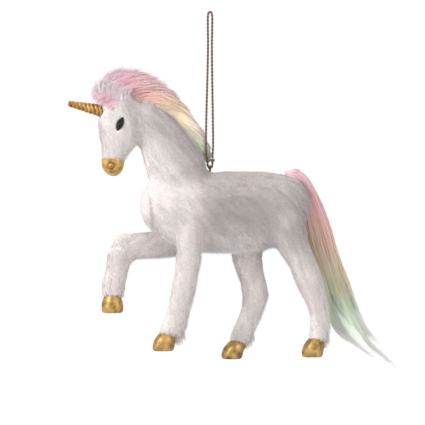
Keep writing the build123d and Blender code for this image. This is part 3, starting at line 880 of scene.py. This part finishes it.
def pile_tree():
    """The node tree that grows pile on a skin."""
    sizes = {"Length": 1.5 * mm, "Thickness": 0.2 * mm, "Stand": 0.5}
    net = Growth("pile", "Skin", Part=0, Density=1.0e6, **sizes, Seed=1)
    given = net.given
    shade_seed = 5
    stray_seed = 9
    length_seed = 3
    shade_scale = 400.0
    tuft_scale = 420.0
    part = net.stored("part", "INT")
    here = net.out("Compare", None, None, part, given["Part"], data_type="INT", operation="EQUAL")
    clear = net.out("Compare", net.stored("bare"), 0.5, data_type="FLOAT", operation="LESS_THAN")
    points = net.node(
        "DistributePointsOnFaces",
        given["Skin"],
        net.out("BooleanMath", here, clear, operation="AND"),
        Density=given["Density"],
        Seed=given["Seed"],
        distribute_method="RANDOM",
    ).outputs
    roots = net.store(points["Points"], "out", points["Normal"], "FLOAT_VECTOR")
    streak = net.stored("streak", "FLOAT_VECTOR")
    broad = net.out("TexNoise", Vector=streak, Scale=shade_scale, Detail=1.0, get="Fac")
    level = net.out("MapRange", Value=broad, From_Min=0.32, From_Max=0.68)
    level = net.plus(net.times(level, 0.7), net.times(net.chance(0.0, 1.0, shade_seed), 0.3))
    roots = net.store(roots, "shade", level)
    lay = net.stored("lay", "FLOAT_VECTOR")
    tuft = net.out("TexNoise", Vector=streak, Scale=tuft_scale, Detail=1.0, get="Color")
    tuft = net.vectors("SUBTRACT", tuft, (0.5, 0.5, 0.5))
    ends = ((-1, -1, -1), (1, 1, 1))
    stray = net.out("RandomValue", *ends, Seed=stray_seed, data_type="FLOAT_VECTOR")
    rise = net.scaled(net.stored("out", "FLOAT_VECTOR"), given["Stand"])
    way = net.vectors("ADD", rise, lay, net.scaled(tuft, 0.6), net.scaled(stray, 0.14))
    turn = net.out("AlignRotationToVector", Vector=way, axis="Z")
    turn = net.out("AlignRotationToVector", Rotation=turn, Vector=lay, axis="X", pivot_axis="Z")
    length = net.times(given["Length"], net.chance(0.65, 1.15, length_seed))
    size = net.out("CombineXYZ", given["Thickness"], given["Thickness"], length)
    one = needle(net)
    return net.close(net.out("InstanceOnPoints", roots, Instance=one, Rotation=turn, Scale=size))


inputs_in_mm = ("Length", "Thickness", "Wave")


def run_tree(name, tree, host_mesh, **values):
    """Runs a node tree once over a mesh and gives the plain mesh object that it makes."""
    piece = new_object(name, host_mesh)
    modifier = piece.modifiers.new(tree.name, "NODES")
    modifier.node_group = tree
    for item in tree.interface.items_tree:
        if item.in_out == "INPUT" and item.name in values:
            value = values[item.name]
            modifier[item.identifier] = value * mm if item.name in inputs_in_mm else value
    return settle(piece)


pile = pile_tree()
print("pile tree:", len(pile.nodes), "nodes")

# %% [markdown]
# ## Growing the pile
# Each part of the coat gets its own strands as a piece of its own, and the trunk has one piece for
# each side. The head's strands are shorter, finer, closer together and flatter.

# %% Grow the pile
pile_density = 5.0e6
face_density = 7.5e6
pile_stand = 0.34
face_stand = 0.26
pile_seed = 11
pile_rows = {
    "torso_fur": ("torso_pile_left", 2.5, 0.26),
    "torso_fur_far": ("torso_pile_right", 2.5, 0.26),
    "neck_fur": ("neck_pile", 2.4, 0.26),
    "head_fur": ("head_pile", 1.6, 0.19),
    "left_foreleg_fur": ("left_foreleg_pile", 2.1, 0.23),
    "right_foreleg_upper_fur": ("right_foreleg_upper_pile", 2.3, 0.23),
    "right_foreleg_lower_fur": ("right_foreleg_lower_pile", 1.9, 0.23),
    "left_hindleg_fur": ("left_hindleg_pile", 2.1, 0.23),
    "right_hindleg_fur": ("right_hindleg_pile", 2.0, 0.23),
}


def grow_pile(name, skin, slot, node, **values):
    """A piece of pile on a copy of a skin."""
    strands = run_tree(name, pile, skin.data.copy(), Material=fur, **values)
    finish_piece(strands, fur, slot, node)
    print(name, len(strands.data.polygons), "faces")


for number, (part, (name, length, thickness)) in enumerate(pile_rows.items()):
    values = {"Part": pile_parts.index(part), "Length": length, "Thickness": thickness}
    values["Seed"] = pile_seed + number
    values["Density"] = face_density if part == "head_fur" else pile_density
    values["Stand"] = face_stand if part == "head_fur" else pile_stand
    grow_pile(name, coat, "white_fur", part.removesuffix("_far"), **values)
finish_piece(coat, backing, "white_fur", *fur_nodes)

# %% [markdown]
# ## Gold hooves and muzzle
# They are moulded and painted, so their edges are soft. The same rounding with a finer voxel
# takes the facets off and leaves the form. A nostril on the real muzzle is a ring pressed into
# the gold round a small boss. The CAD's pit is smoothed away first, and the ring is then pressed
# in, point by point, and its gold darkened by the same number.


# %% Make the hooves and the muzzle
def dome(mesh, rise, fall, widen):
    """Raises the middle of a hoof's upper edge, lowers its heel and swells its sides, in mm."""
    places = point_rows(mesh)
    low, high = places.min(axis=0), places.max(axis=0)
    along, across, up = ((places - low) / (high - low)).T
    places[:, 2] += up * (rise * (1 - (2 * along - 1) ** 2) - fall * along ** 3) * mm
    places[:, 1] += (2 * across - 1) * widen * up * mm
    move_points(mesh, places)


for name in hooves:
    hoof = rounded(name + "_gold", [name], voxel=0.3, rounds=22, push=0.2)
    dome(hoof.data, rise=1.0, fall=1.3, widen=0.5)
    finish_piece(hoof, hoof_gold, "hoof_gold", name)
nostril_place = (-44.7, -67.6)
nostril_ring = 1.4
nostril_width = 0.48
nostril_depth = 0.45


def from_nostril(places):
    """How far points, in mm, lie from the nostril's middle, seen from the side."""
    return np.hypot(places[:, 0] - nostril_place[0], places[:, 2] - nostril_place[1])


def press_nostrils(mesh):
    """Smooths a round place on both sides and presses a ring into it."""
    soften(mesh, 1 - eased(1.9, 2.9, from_nostril(point_rows(mesh) / mm)), 120)
    places = point_rows(mesh) / mm
    ring = ridge(from_nostril(places), nostril_ring, nostril_width) * (np.abs(places[:, 1]) > 1.2)
    places[:, 1] -= np.sign(places[:, 1]) * ring * nostril_depth
    mark(mesh, "groove", ring)
    move_points(mesh, places * mm)


muzzle = rounded("muzzle_gold_cap", ["muzzle_cap"], voxel=0.22, rounds=4, push=0.05)
press_nostrils(muzzle.data)
finish_piece(muzzle, muzzle_gold, "muzzle_gold", "muzzle_cap")
for side in ("left", "right"):
    bead = rounded(side + "_eye_bead", [side + "_eye"], voxel=0.12, rounds=6, push=0.03)
    finish_piece(bead, bead_black, "bead_black", side + "_eye")
print("gold and glass pieces made:", len(hooves) + 3)

# %% [markdown]
# ## From the photograph to the frame
# Hair has no drawing, so its flow is read from the photograph: a pixel and a depth give a point.
# The camera looks 12 degrees off square, so depth shifts a point sideways a little.

# %% Turn a pixel into a point
middle_column = 210
hook_row = 13
turn_cosine = 0.978
turn_sine = 0.208


def seen(across, down, depth=0.0):
    """The point at a depth (mm along Y) that the photograph shows at a pixel."""
    x = ((across - middle_column) * pixel + turn_sine * depth) / turn_cosine
    return Vector((x, depth, -(down - hook_row) * pixel)) * mm


def between_edges(table, share, out, depth):
    """A point between two edges: how far along them, how far out from the inner, and its depth.

    Each row of the table is a pixel of the inner edge and one of the outer."""
    rows = np.array(table, dtype=float)
    place = np.clip(share, 0, 1) * (len(rows) - 1)
    spots = [float(np.interp(place, range(len(rows)), column)) for column in rows.T]
    in_x, in_y, out_x, out_y = spots
    return seen(in_x + out * (out_x - in_x), in_y + out * (out_y - in_y), depth)


print("the horn's tip is near", [round(c / mm, 1) for c in seen(67.6, 103.9)])

# %% [markdown]
# ## A geometry nodes tree for hair
# A lock of hair starts as a guide: a line of points that knows how far its hairs may stray from
# it (*spread*) and which band of the dye they are in (*band*). The tree turns each guide into a
# smooth curve, copies it many times, moves each copy aside by its own random amount, trims it to
# its own length, adds a slow wave, and sweeps a three-sided tube along it that narrows to the tip.


# %% Build the hair tree
def hair_tree():
    """The node tree that makes locks of hair from guides."""
    sizes = {"Thickness": 0.2 * mm, "Wave": 0.5 * mm, "Shortest": 0.7}
    net = Growth("hair", "Guides", Hairs=30, Steps=12, **sizes, Seed=1)
    given = net.given

    def roll(step, low=0.0, high=1.0):
        """A random number that is the same at all points of one curve."""
        number = net.chance(low, high, net.plus(given["Seed"], step))
        return net.out("FieldOnDomain", number, domain="CURVE", data_type="FLOAT")

    line = net.out("MeshToCurve", given["Guides"])
    smooth = net.out("CurveSplineType", line, spline_type="CATMULL_ROM")
    even = net.out("ResampleCurve", smooth, Count=given["Steps"])
    copies = net.out("DuplicateElements", even, Amount=given["Hairs"], domain="SPLINE")
    trimmed = net.out("TrimCurve", copies, End=roll(1.0, given["Shortest"], 1.0))
    again = net.out("ResampleCurve", trimmed, Count=given["Steps"])
    along = net.out("SplineParameter", get="Factor")
    lane = roll(2.0, 0.0, 2 * math.pi)
    reach = net.times(net.maths("SQRT", roll(3.0)), net.stored("spread"))
    drift = net.out("CombineXYZ", lane, net.times(reach, 900.0))
    place = net.vectors("ADD", net.scaled(net.out("InputPosition"), 70.0), drift)
    wander = net.out("TexNoise", Vector=place, Scale=1.0, Detail=1.0, get="Color")
    wave = net.vectors("SUBTRACT", wander, (0.5, 0.5, 0.5))
    wave = net.scaled(wave, net.times(along, 2.0, given["Wave"]))
    offset = net.vectors("ADD", net.circling(net.above(), lane, reach), wave)
    moved = net.out("SetPosition", again, Offset=offset)
    marked = net.store(net.store(moved, "shade", roll(4.0)), "along", along)
    thin = net.minus(1.05, net.maths("POWER", along, 3.0))
    girth = net.times(thin, 0.5, given["Thickness"])
    ring = net.out("CurvePrimitiveCircle", Resolution=3, Radius=1.0)
    return net.close(net.out("CurveToMesh", marked, ring, Scale=girth))


hair = hair_tree()
print("hair tree:", len(hair.nodes), "nodes")


# %% Turn guides into hair
def line_mesh(name, lines):
    """A mesh of lines of edges through points."""
    points = []
    edges = []
    for line in lines:
        first = len(points)
        points += line
        edges += [(first + i, first + i + 1) for i in range(len(line) - 1)]
    mesh = bpy.data.meshes.new(name)
    mesh.from_pydata(points, edges, [])
    return mesh


def hair_piece(name, guides, material, slot, node, **values):
    """A piece of hair. A guide is a list of (point, spread in mm, band)."""
    lines = [[point for point, spread, band in guide] for guide in guides]
    host = line_mesh(name + "_guides", lines)
    mark(host, "spread", [spread * mm for guide in guides for point, spread, band in guide])
    mark(host, "band", [band for guide in guides for point, spread, band in guide])
    piece = run_tree(name, hair, host, Material=material, **values)
    finish_piece(piece, material, slot, node)
    print(name, len(guides), "guides,", len(piece.data.polygons) * 2, "triangles")


# %% [markdown]
# ## The mane
# Dyed hair is sewn along the crest, from between the ears to the withers. It is brushed up and
# back: over the poll it stands nearly upright, and further down it lies almost along the neck.
# The table holds the crest and the mane's outer edge, pixel by pixel, and a guide runs between
# the two while it travels down the neck. Each hair keeps the band of dye of its root, nearly. Near
# the withers the hair lies behind the cord, on the far side.

# %% Draw the mane's guides
mane_edges = [
    (106, 98, 93, 97), (107, 93, 96, 88), (110, 90, 101, 80.5), (118, 91, 110, 72.5),
    (128, 94, 123, 67.5), (138, 96, 136, 67.5), (147, 99, 149, 73), (157, 103, 161, 80),
    (167, 109, 173, 89), (176, 118, 185, 103), (185, 130, 195, 117), (193, 142, 204, 130),
    (200, 153, 211, 145), (205, 165, 212, 158),
]
mane_lines = 66
mane_steps = 7


def mane_guides(side, seed):
    """Guides on one side of the crest, -1 for the near side and 1 for the far side."""
    chooser = np.random.default_rng(seed)
    guides = []
    for number in range(mane_lines):
        start = 0.01 + 0.93 * (number + chooser.uniform(-0.4, 0.4)) / mane_lines
        poll = max(0, 1 - start / 0.28)
        travel = (0.24 + 0.16 * chooser.random()) * (1 - 0.5 * start) * (1 - 0.3 * poll)
        height = (0.55, 0.78, 0.90, 0.97)[number % 4] + chooser.uniform(-0.05, 0.05)
        lane = side * (0.3 + 1.3 * chooser.random())
        root = -0.08 - 0.30 * max(0, 1 - abs(start - 0.40) / 0.3)
        guide = []
        for step in range(mane_steps + 1):
            t = step / mane_steps
            share = start + travel * t
            out = root + (height - root) * t ** (0.62 - 0.12 * poll)
            low = float(eased(0.58, 0.74, share))
            bow = 0.4 + 1.1 * math.sin(math.pi * min(1, t * 0.8))
            depth = 2.0 * poll + lane * (1 - 0.6 * low) * bow + 2.1 * low
            spread = (1.1 + 0.5 * t) * (1 - 0.6 * low)
            guide.append((between_edges(mane_edges, share, out, depth), spread, start + 0.12 * t))
        guides.append(guide)
    return guides


# %% Make the mane
mane_core = rounded("mane_under", ["mane"], voxel=0.35, rounds=8, push=-0.55)
finish_piece(mane_core, mane_under, "mane_hair", "mane")
mane_size = {"Steps": 13, "Thickness": 0.26, "Wave": 0.2, "Shortest": 0.85}
for word, side, hairs in (("near", -1, 42), ("far", 1, 38)):
    sewn = {"Hairs": hairs, "Seed": 21 + side, **mane_size}
    hair_piece("mane_" + word, mane_guides(side, 40 + side), mane_hair, "mane_hair", "mane", **sewn)

# %% [markdown]
# ## The forelock
# A small pink tuft lies on the brow, behind the horn, and parts over it. Its outer hairs stand off
# the brow and are nearly white. Each row is a pixel and a band of the dye.

# %% Make the forelock
forelock_lines = [
    [(113, 93, 0.9), (104, 87, 0.9), (96, 88, 1.0), (91, 96, 1.0)],
    [(113, 94, 0.7), (104, 90, 0.8), (96, 92, 0.9), (91, 101, 1.0)],
    [(113, 95, 0.5), (105, 92, 0.6), (98, 95, 0.8), (93, 103, 1.0)],
    [(113, 96, 0.3), (106, 94, 0.4), (100, 98, 0.6), (95, 105, 0.9)],
    [(114, 97, 0.0), (109, 96, 0.0), (103, 101, 0.1), (100, 108, 0.4)],
]
temple_lines = [
    [(117, 96, 0.9), (109, 95, 0.6), (102, 97, 0.4), (97, 102, 0.6)],
    [(118, 98, 0.6), (110, 98, 0.2), (103, 100, 0.1), (98, 105, 0.3)],
    [(119, 101, 0.5), (112, 101, 0.0), (106, 103, 0.0), (101, 108, 0.3)],
    [(119, 104, 0.7), (114, 104, 0.2), (109, 106, 0.0), (106, 110, 0.4)],
    [(118, 107, 1.0), (114, 107, 0.6), (111, 109, 0.5), (109, 113, 0.9)],
]
cheek_depth = -6
brow_depth = -4.4


def beside_face(across, down, side, lift):
    """The point just off the head's fur, on one side, that the photograph shows at a pixel."""
    guess = seen(across, down, cheek_depth)
    hit, found = coat.ray_cast(Vector((guess.x, -40 * mm, guess.z)), Vector((0, 1, 0)))[:2]
    depth = min(found.y if hit else 0.0, brow_depth * mm) - lift * mm
    return Vector((guess.x, -side * depth, guess.z))


bpy.context.view_layer.update()
forelock_guides = []
for depth in (-4.2, -2.8, -1.4, 0.0, 1.4, 2.8):
    for line in forelock_lines:
        forelock_guides.append([(seen(x, y, depth), 0.9, band) for x, y, band in line])
for side in (-1, 1):
    for line in temple_lines:
        rises = [1.5 * i / (len(line) - 1) - 0.6 for i in range(len(line))]
        spots = [beside_face(x, y, side, rise) for (x, y, band), rise in zip(line, rises)]
        forelock_guides.append([(spot, 1.5, row[2]) for spot, row in zip(spots, line)])
under = rounded("forelock_under", ["forelock"], voxel=0.3, rounds=6, push=-0.3)
finish_piece(under, forelock_hair, "forelock_hair", "forelock")
tuft = {"Hairs": 34, "Steps": 8, "Thickness": 0.2, "Wave": 0.4, "Shortest": 0.6, "Seed": 61}
hair_piece("forelock_tuft", forelock_guides, forelock_hair, "forelock_hair", "forelock", **tuft)

# %% [markdown]
# ## The feathers
# Longer white hair hangs behind each hoof. A few guides run from the back of the pastern down past
# the hoof's upper edge, at the leg's own depth.

# %% Make the feathers
leg_depth = 7.5
feather_rows = {
    "left_foreleg_fur": (-leg_depth, [
        [(169, 322), (173, 333), (176, 343)],
        [(172, 318), (176, 332), (179, 346)],
        [(176, 314), (180, 330), (182, 345)],
        [(179, 312), (182, 327), (185, 341)],
    ]),
    "right_hindleg_fur": (leg_depth, [
        [(237, 330), (241, 340), (244, 349)],
        [(241, 326), (245, 339), (248, 352)],
        [(245, 322), (249, 336), (251, 350)],
        [(249, 318), (252, 333), (254, 345)],
    ]),
    "left_hindleg_fur": (-leg_depth, [
        [(316, 328), (320, 339), (323, 348)],
        [(320, 324), (324, 336), (326, 350)],
        [(323, 320), (327, 334), (329, 347)],
    ]),
    "right_foreleg_lower_fur": (leg_depth, [
        [(116, 276), (119, 285), (121, 294)],
        [(119, 272), (122, 282), (124, 292)],
    ]),
}
feather_size = {"Hairs": 48, "Steps": 6, "Thickness": 0.2, "Wave": 0.3, "Shortest": 0.6}
for number, (part, (depth, lines)) in enumerate(feather_rows.items()):
    guides = []
    for shift in (-1.8, -0.6, 0.6, 1.8):
        for line in lines:
            guides.append([(seen(x, y, depth + shift), 0.9, 0.0) for x, y in line])
    name = part.replace("_fur", "_feather")
    hair_piece(name, guides, fur, "white_fur", part, Seed=81 + number, **feather_size)

# %% [markdown]
# ## The tail
# One thick switch of hair leaves the top of the rump, falls close behind the leg and sweeps out.
# Its hairs have many lengths, so it thins from a solid lock to three or four wisps. The guides run
# between the inner and the outer edge, and the last ones leave the rest as wisps.

# %% Draw the tail's guides
tail_edges = [
    (286, 177, 286.5, 173), (289, 178, 294, 169), (294, 182, 304, 173), (299, 192, 313, 187),
    (303, 207, 321, 203), (306, 228, 331, 227), (314, 254, 339, 256), (321, 278, 349, 280),
    (327, 303, 358, 303), (337, 325, 365, 320), (352, 342, 374, 335), (370, 355, 385, 350),
    (388, 365, 396, 366),
]
wisp_lines = [
    [(322, 262), (333, 292), (342, 312), (352, 326), (364, 336)],
    [(318, 262), (328, 298), (336, 320), (347, 335), (362, 349), (379, 361)],
    [(330, 270), (341, 300), (354, 324), (370, 344), (386, 358), (401, 371)],
    [(336, 276), (349, 303), (361, 321), (372, 336), (382, 347)],
    [(322, 270), (328, 302), (333, 322), (341, 335), (354, 346)],
]
tail_lines = 9
tail_steps = 10


def tail_guides(lanes, seed):
    """Guides in a few depth lanes, side by side in each."""
    chooser = np.random.default_rng(seed)
    guides = []
    for lane in lanes:
        for number in range(tail_lines):
            out = (number + 0.5) / tail_lines + chooser.uniform(-0.03, 0.03)
            reach = (0.90, 0.70, 0.80)[number % 3] + chooser.uniform(-0.06, 0.02)
            guide = []
            for step in range(tail_steps + 1):
                t = step / tail_steps
                full = math.sin(math.pi * min(1, 0.15 + t * 0.75))
                place = between_edges(tail_edges, reach * t, 0.5 + (out - 0.5) * 0.92, lane * full)
                guide.append((place, 0.5 + 0.9 * full, reach * t - 0.05 * out))
            guides.append(guide)
    return guides


def wisp_guides():
    """The few long hairs past the lock's end, gathered into points."""
    guides = []
    for depth in (-1.2, 0.0, 1.2):
        for line in wisp_lines:
            guide = []
            for number, (x, y) in enumerate(line):
                t = number / (len(line) - 1)
                guide.append((seen(x, y, depth), 1.2 * (1 - 0.4 * t), 0.5 + 0.5 * t))
            guides.append(guide)
    return guides


# %% Make the tail
tail_core = rounded("tail_under", ["tail"], voxel=0.5, rounds=12, push=-1.1)
finish_piece(tail_core, tail_under, "tail_hair", "tail")
tail_size = {"Steps": 16, "Thickness": 0.24, "Wave": 0.9, "Shortest": 0.72}
tail_rows = [("near", (-2.2, -1.1, -0.2), 52, 71), ("far", (0.6, 1.5, 2.4), 60, 72)]
for word, lanes, hairs, seed in tail_rows:
    guides = tail_guides(lanes, seed) + (wisp_guides() if word == "near" else [])
    sewn = {"Hairs": hairs, "Seed": seed, **tail_size}
    hair_piece("tail_" + word, guides, tail_hair, "tail_hair", "tail", **sewn)

# %% [markdown]
# ## The horn
# The horn follows a rule, so nodes draw it: a cylinder whose radius falls to the blunt tip, with
# three lobes that turn about the axis as they climb. The tree also stores how deep in a groove
# each point lies, and the gold is darker there.


# %% Build the horn tree
def horn_tree():
    """The node tree that draws a lobed, turned cone along Z, from 0 to its length."""
    sizes = {"Length": 16.1 * mm, "Base": 5.9 * mm, "Tip": 2.5 * mm}
    net = Growth("horn", "Host", **sizes, Lobes=3.0, Turns=3.0, Groove=0.14)
    given = net.given
    sizes = {"Vertices": 48, "Side_Segments": 110, "Fill_Segments": 3, "Radius": 1.0, "Depth": 1.0}
    rod = net.out("MeshCylinder", **sizes, fill_type="TRIANGLE_FAN", get="Mesh")
    place = net.node("SeparateXYZ", net.out("InputPosition")).outputs
    climb = net.plus(place["Z"], 0.5)
    squares = [net.times(place[axis], place[axis]) for axis in "XY"]
    middle = net.maths("SQRT", net.plus(*squares))
    angle = net.maths("ARCTAN2", place["Y"], place["X"])
    turned = net.minus(angle, net.times(climb, given["Turns"], 2 * math.pi))
    lobe = net.maths("COSINE", net.times(turned, given["Lobes"]))
    deep = net.maths("POWER", net.times(net.minus(1.0, lobe), 0.5), 2.2)
    cut = net.minus(1.0, net.times(deep, given["Groove"]))
    wide = net.plus(given["Base"], net.times(climb, net.minus(given["Tip"], given["Base"])))
    past = net.maths("MAXIMUM", net.times(net.minus(climb, 0.95), 19.0), 0.0)
    blunt = net.maths("SQRT", net.minus(1.0, net.maths("POWER", past, 2.0)))
    reach = net.times(wide, 0.5, cut, blunt)
    spot = net.out(
        "CombineXYZ",
        net.times(net.maths("COSINE", angle), middle, reach),
        net.times(net.maths("SINE", angle), middle, reach),
        net.times(climb, given["Length"]),
    )
    shaped = net.out("SetPosition", net.store(rod, "groove", deep), Position=spot)
    return net.close(shaped, smooth=True)


# %% Make the horn
horn_rise = math.radians(12.0)
horn_length = 16.1
horn_way = Vector((-math.cos(horn_rise), 0, math.sin(horn_rise)))
horn_points = [vertex.co for vertex in nodes["horn"].data.vertices]
furthest = max(point.dot(horn_way) for point in horn_points)
tip_ring = [point for point in horn_points if point.dot(horn_way) > furthest - 0.05 * mm]
horn_tip = sum(tip_ring, Vector()) / len(tip_ring)
horn_host = bpy.data.meshes.new("horn_host")
horn = run_tree("horn_gold", horn_tree(), horn_host, Length=horn_length, Material=horn_gold)
turn = horn_way.to_track_quat("Z", "Y").to_matrix().to_4x4()
turn.translation = Vector((horn_tip.x, 0, horn_tip.z)) - horn_way * (horn_length * mm)
horn.data.transform(turn)
horn.data.update()
finish_piece(horn, horn_gold, "horn_gold", "horn")
print("horn tip", [round(c / mm, 2) for c in horn_tip], len(horn.data.polygons), "faces")

# %% [markdown]
# ## The ears
# Two small ears of the same plush stand at the poll, mostly under the mane.

# %% Make the ears
for side, seed in (("left", 91), ("right", 92)):
    ear = rounded(side + "_ear_felt", [side + "_ear"], voxel=0.25, rounds=5, push=-0.1)
    mark(ear.data, "part", [0] * len(ear.data.polygons), "INT", "FACE")
    mark(ear.data, "bare", [0.0] * len(ear.data.vertices))
    for label in ("lay", "streak"):
        mark(ear.data, label, [-0.5, 0.0, 0.5] * len(ear.data.vertices), "FLOAT_VECTOR")
    values = {"Part": 0, "Density": 1.8e7, "Seed": seed}
    values |= {"Length": 2.2, "Thickness": 0.18, "Stand": 0.3}
    grow_pile(side + "_ear_pile", ear, "ear_felt", side + "_ear", **values)
    finish_piece(ear, backing, "ear_felt", side + "_ear")

# %% [markdown]
# ## The fuzz at the poll
# Between the forelock and the mane the coat's own hair is longer. It rises past the ears and lies
# over the ears and the roots of the mane, which hides where the dyed hair begins.

# %% Make the fuzz at the poll
poll_guides = {-1: [], 1: []}
poll_lines = 22
chooser = np.random.default_rng(94)
for number in range(poll_lines):
    share = number / (poll_lines - 1)
    drop = chooser.uniform(-3.0, 3.0)
    rise = chooser.uniform(-2.0, 2.0)
    foot = (105 + 24 * share, 97 + 4 * share + drop)
    middle = (101.5 + 27 * share, 88 + 5 * share + 0.4 * drop)
    tip = (103 + 32 * share, 80 + 8 * share + rise)
    for side, guides in poll_guides.items():
        for lift in (0.3, 1.0):
            places = ((foot, -0.9), (middle, lift), (tip, lift))
            guides.append([(beside_face(*point, side, out), 1.7, 1.0) for point, out in places])
fuzz_size = {"Hairs": 48, "Steps": 6, "Thickness": 0.14, "Wave": 0.3, "Shortest": 0.35}
for word, side in (("left", -1), ("right", 1)):
    fuzz = {"Seed": 95 + side, **fuzz_size}
    guides = poll_guides[side]
    hair_piece(word + "_poll_fuzz", guides, forelock_hair, "forelock_hair", "head_fur", **fuzz)

# %% [markdown]
# ## The cord
# One length of brown two-ply cord goes up from its knot, over a hook above the picture, down
# through the wire eye and back into the knot. Its route is a smooth spline through the same
# points as the CAD cord's, with one more near each bend, where the long runs are straight. Nodes
# twist two plies about that line.

# %% Draw the cord's line
cord_points = [
    (1.1, -63.9), (1.1, -62.4), (1.5, -58.6), (0.75, -17.5), (1.0, -5.5), (1.0, 0.5), (-1.0, 0.5),
    (-1.0, -5.5), (-0.85, -17.5), (-2.1, -59.5), (-1.15, -65.2), (-1.05, -68.15), (1.1, -68.15),
    (1.1, -65.9),
]


def cord_line(name, points):
    """The points of a smooth spline, as Blender samples it."""
    curve = bpy.data.curves.new(name, "CURVE")
    curve.dimensions = "3D"
    curve.resolution_u = 24
    spline = curve.splines.new("NURBS")
    spline.points.add(len(points) - 1)
    for point, (x, z) in zip(spline.points, points):
        point.co = (x * mm, 0, z * mm, 1)
    spline.order_u = 3
    spline.use_endpoint_u = True
    holder = new_object(name, curve)
    mesh = evaluated_mesh(holder)
    line = [v.co.copy() for v in mesh.vertices]
    bpy.data.objects.remove(holder)
    bpy.data.meshes.remove(mesh)
    return line


cord_path = cord_line("cord_line", cord_points)
cord_length = sum((b - a).length for a, b in zip(cord_path, cord_path[1:]))
print("cord length", round(cord_length / mm, 1), "mm in", len(cord_path), "points")


# %% Build the ply tree
def ply_tree():
    """The node tree that twists two plies about a line."""
    sizes = {"Step": 0.28 * mm, "Pitch": 3.1 * mm, "Apart": 0.24 * mm, "Ply": 0.30 * mm}
    net = Growth("plies", "Line", **sizes)
    given = net.given
    curve = net.out("MeshToCurve", given["Line"])
    even = net.out("ResampleCurve", curve, Length=given["Step"], mode="LENGTH")
    two = net.node("DuplicateElements", even, Amount=2, domain="SPLINE").outputs
    which = net.store(two["Geometry"], "ply", two["Duplicate Index"], domain="CURVE")
    turn = net.maths("DIVIDE", net.out("SplineParameter", get="Length"), given["Pitch"])
    turn = net.plus(net.times(turn, 2 * math.pi), net.times(net.stored("ply"), math.pi))
    offset = net.circling(net.vectors("NORMALIZE", net.above()), turn, given["Apart"])
    moved = net.out("SetPosition", which, Offset=offset)
    ring = net.out("CurvePrimitiveCircle", Resolution=8, Radius=given["Ply"])
    return net.close(net.out("CurveToMesh", moved, ring, Fill_Caps=True), smooth=True)


plies = ply_tree()
print("ply tree:", len(plies.nodes), "nodes")

# %% Twist the cord and tie its knot
cord_host = line_mesh("cord_route", [cord_path])
cord = run_tree("hanging_cord_plies", plies, cord_host, Material=cord_brown)
knot_middle = Vector((1.1, 0, -64.9)) * mm
knot_size = 0.2 * mm
knot_steps = 60
knot_line = []
for step in range(knot_steps + 1):
    t = 2 * math.pi * step / knot_steps
    x = math.sin(t) + 2 * math.sin(2 * t)
    y = -1.2 * math.sin(3 * t)
    z = math.cos(t) - 2 * math.cos(2 * t)
    knot_line.append(knot_middle + Vector((x, y, z)) * knot_size)
knot_host = line_mesh("knot_route", [knot_line])
knot = run_tree("cord_knot_tied", plies, knot_host, Material=cord_brown)
finish_piece(knot, cord_brown, "cord_brown", "cord_knot", body="loop")
finish_piece(cord, cord_brown, "cord_brown", "hanging_cord", body="loop")
print("cord faces:", len(cord.data.polygons), "knot faces:", len(knot.data.polygons))
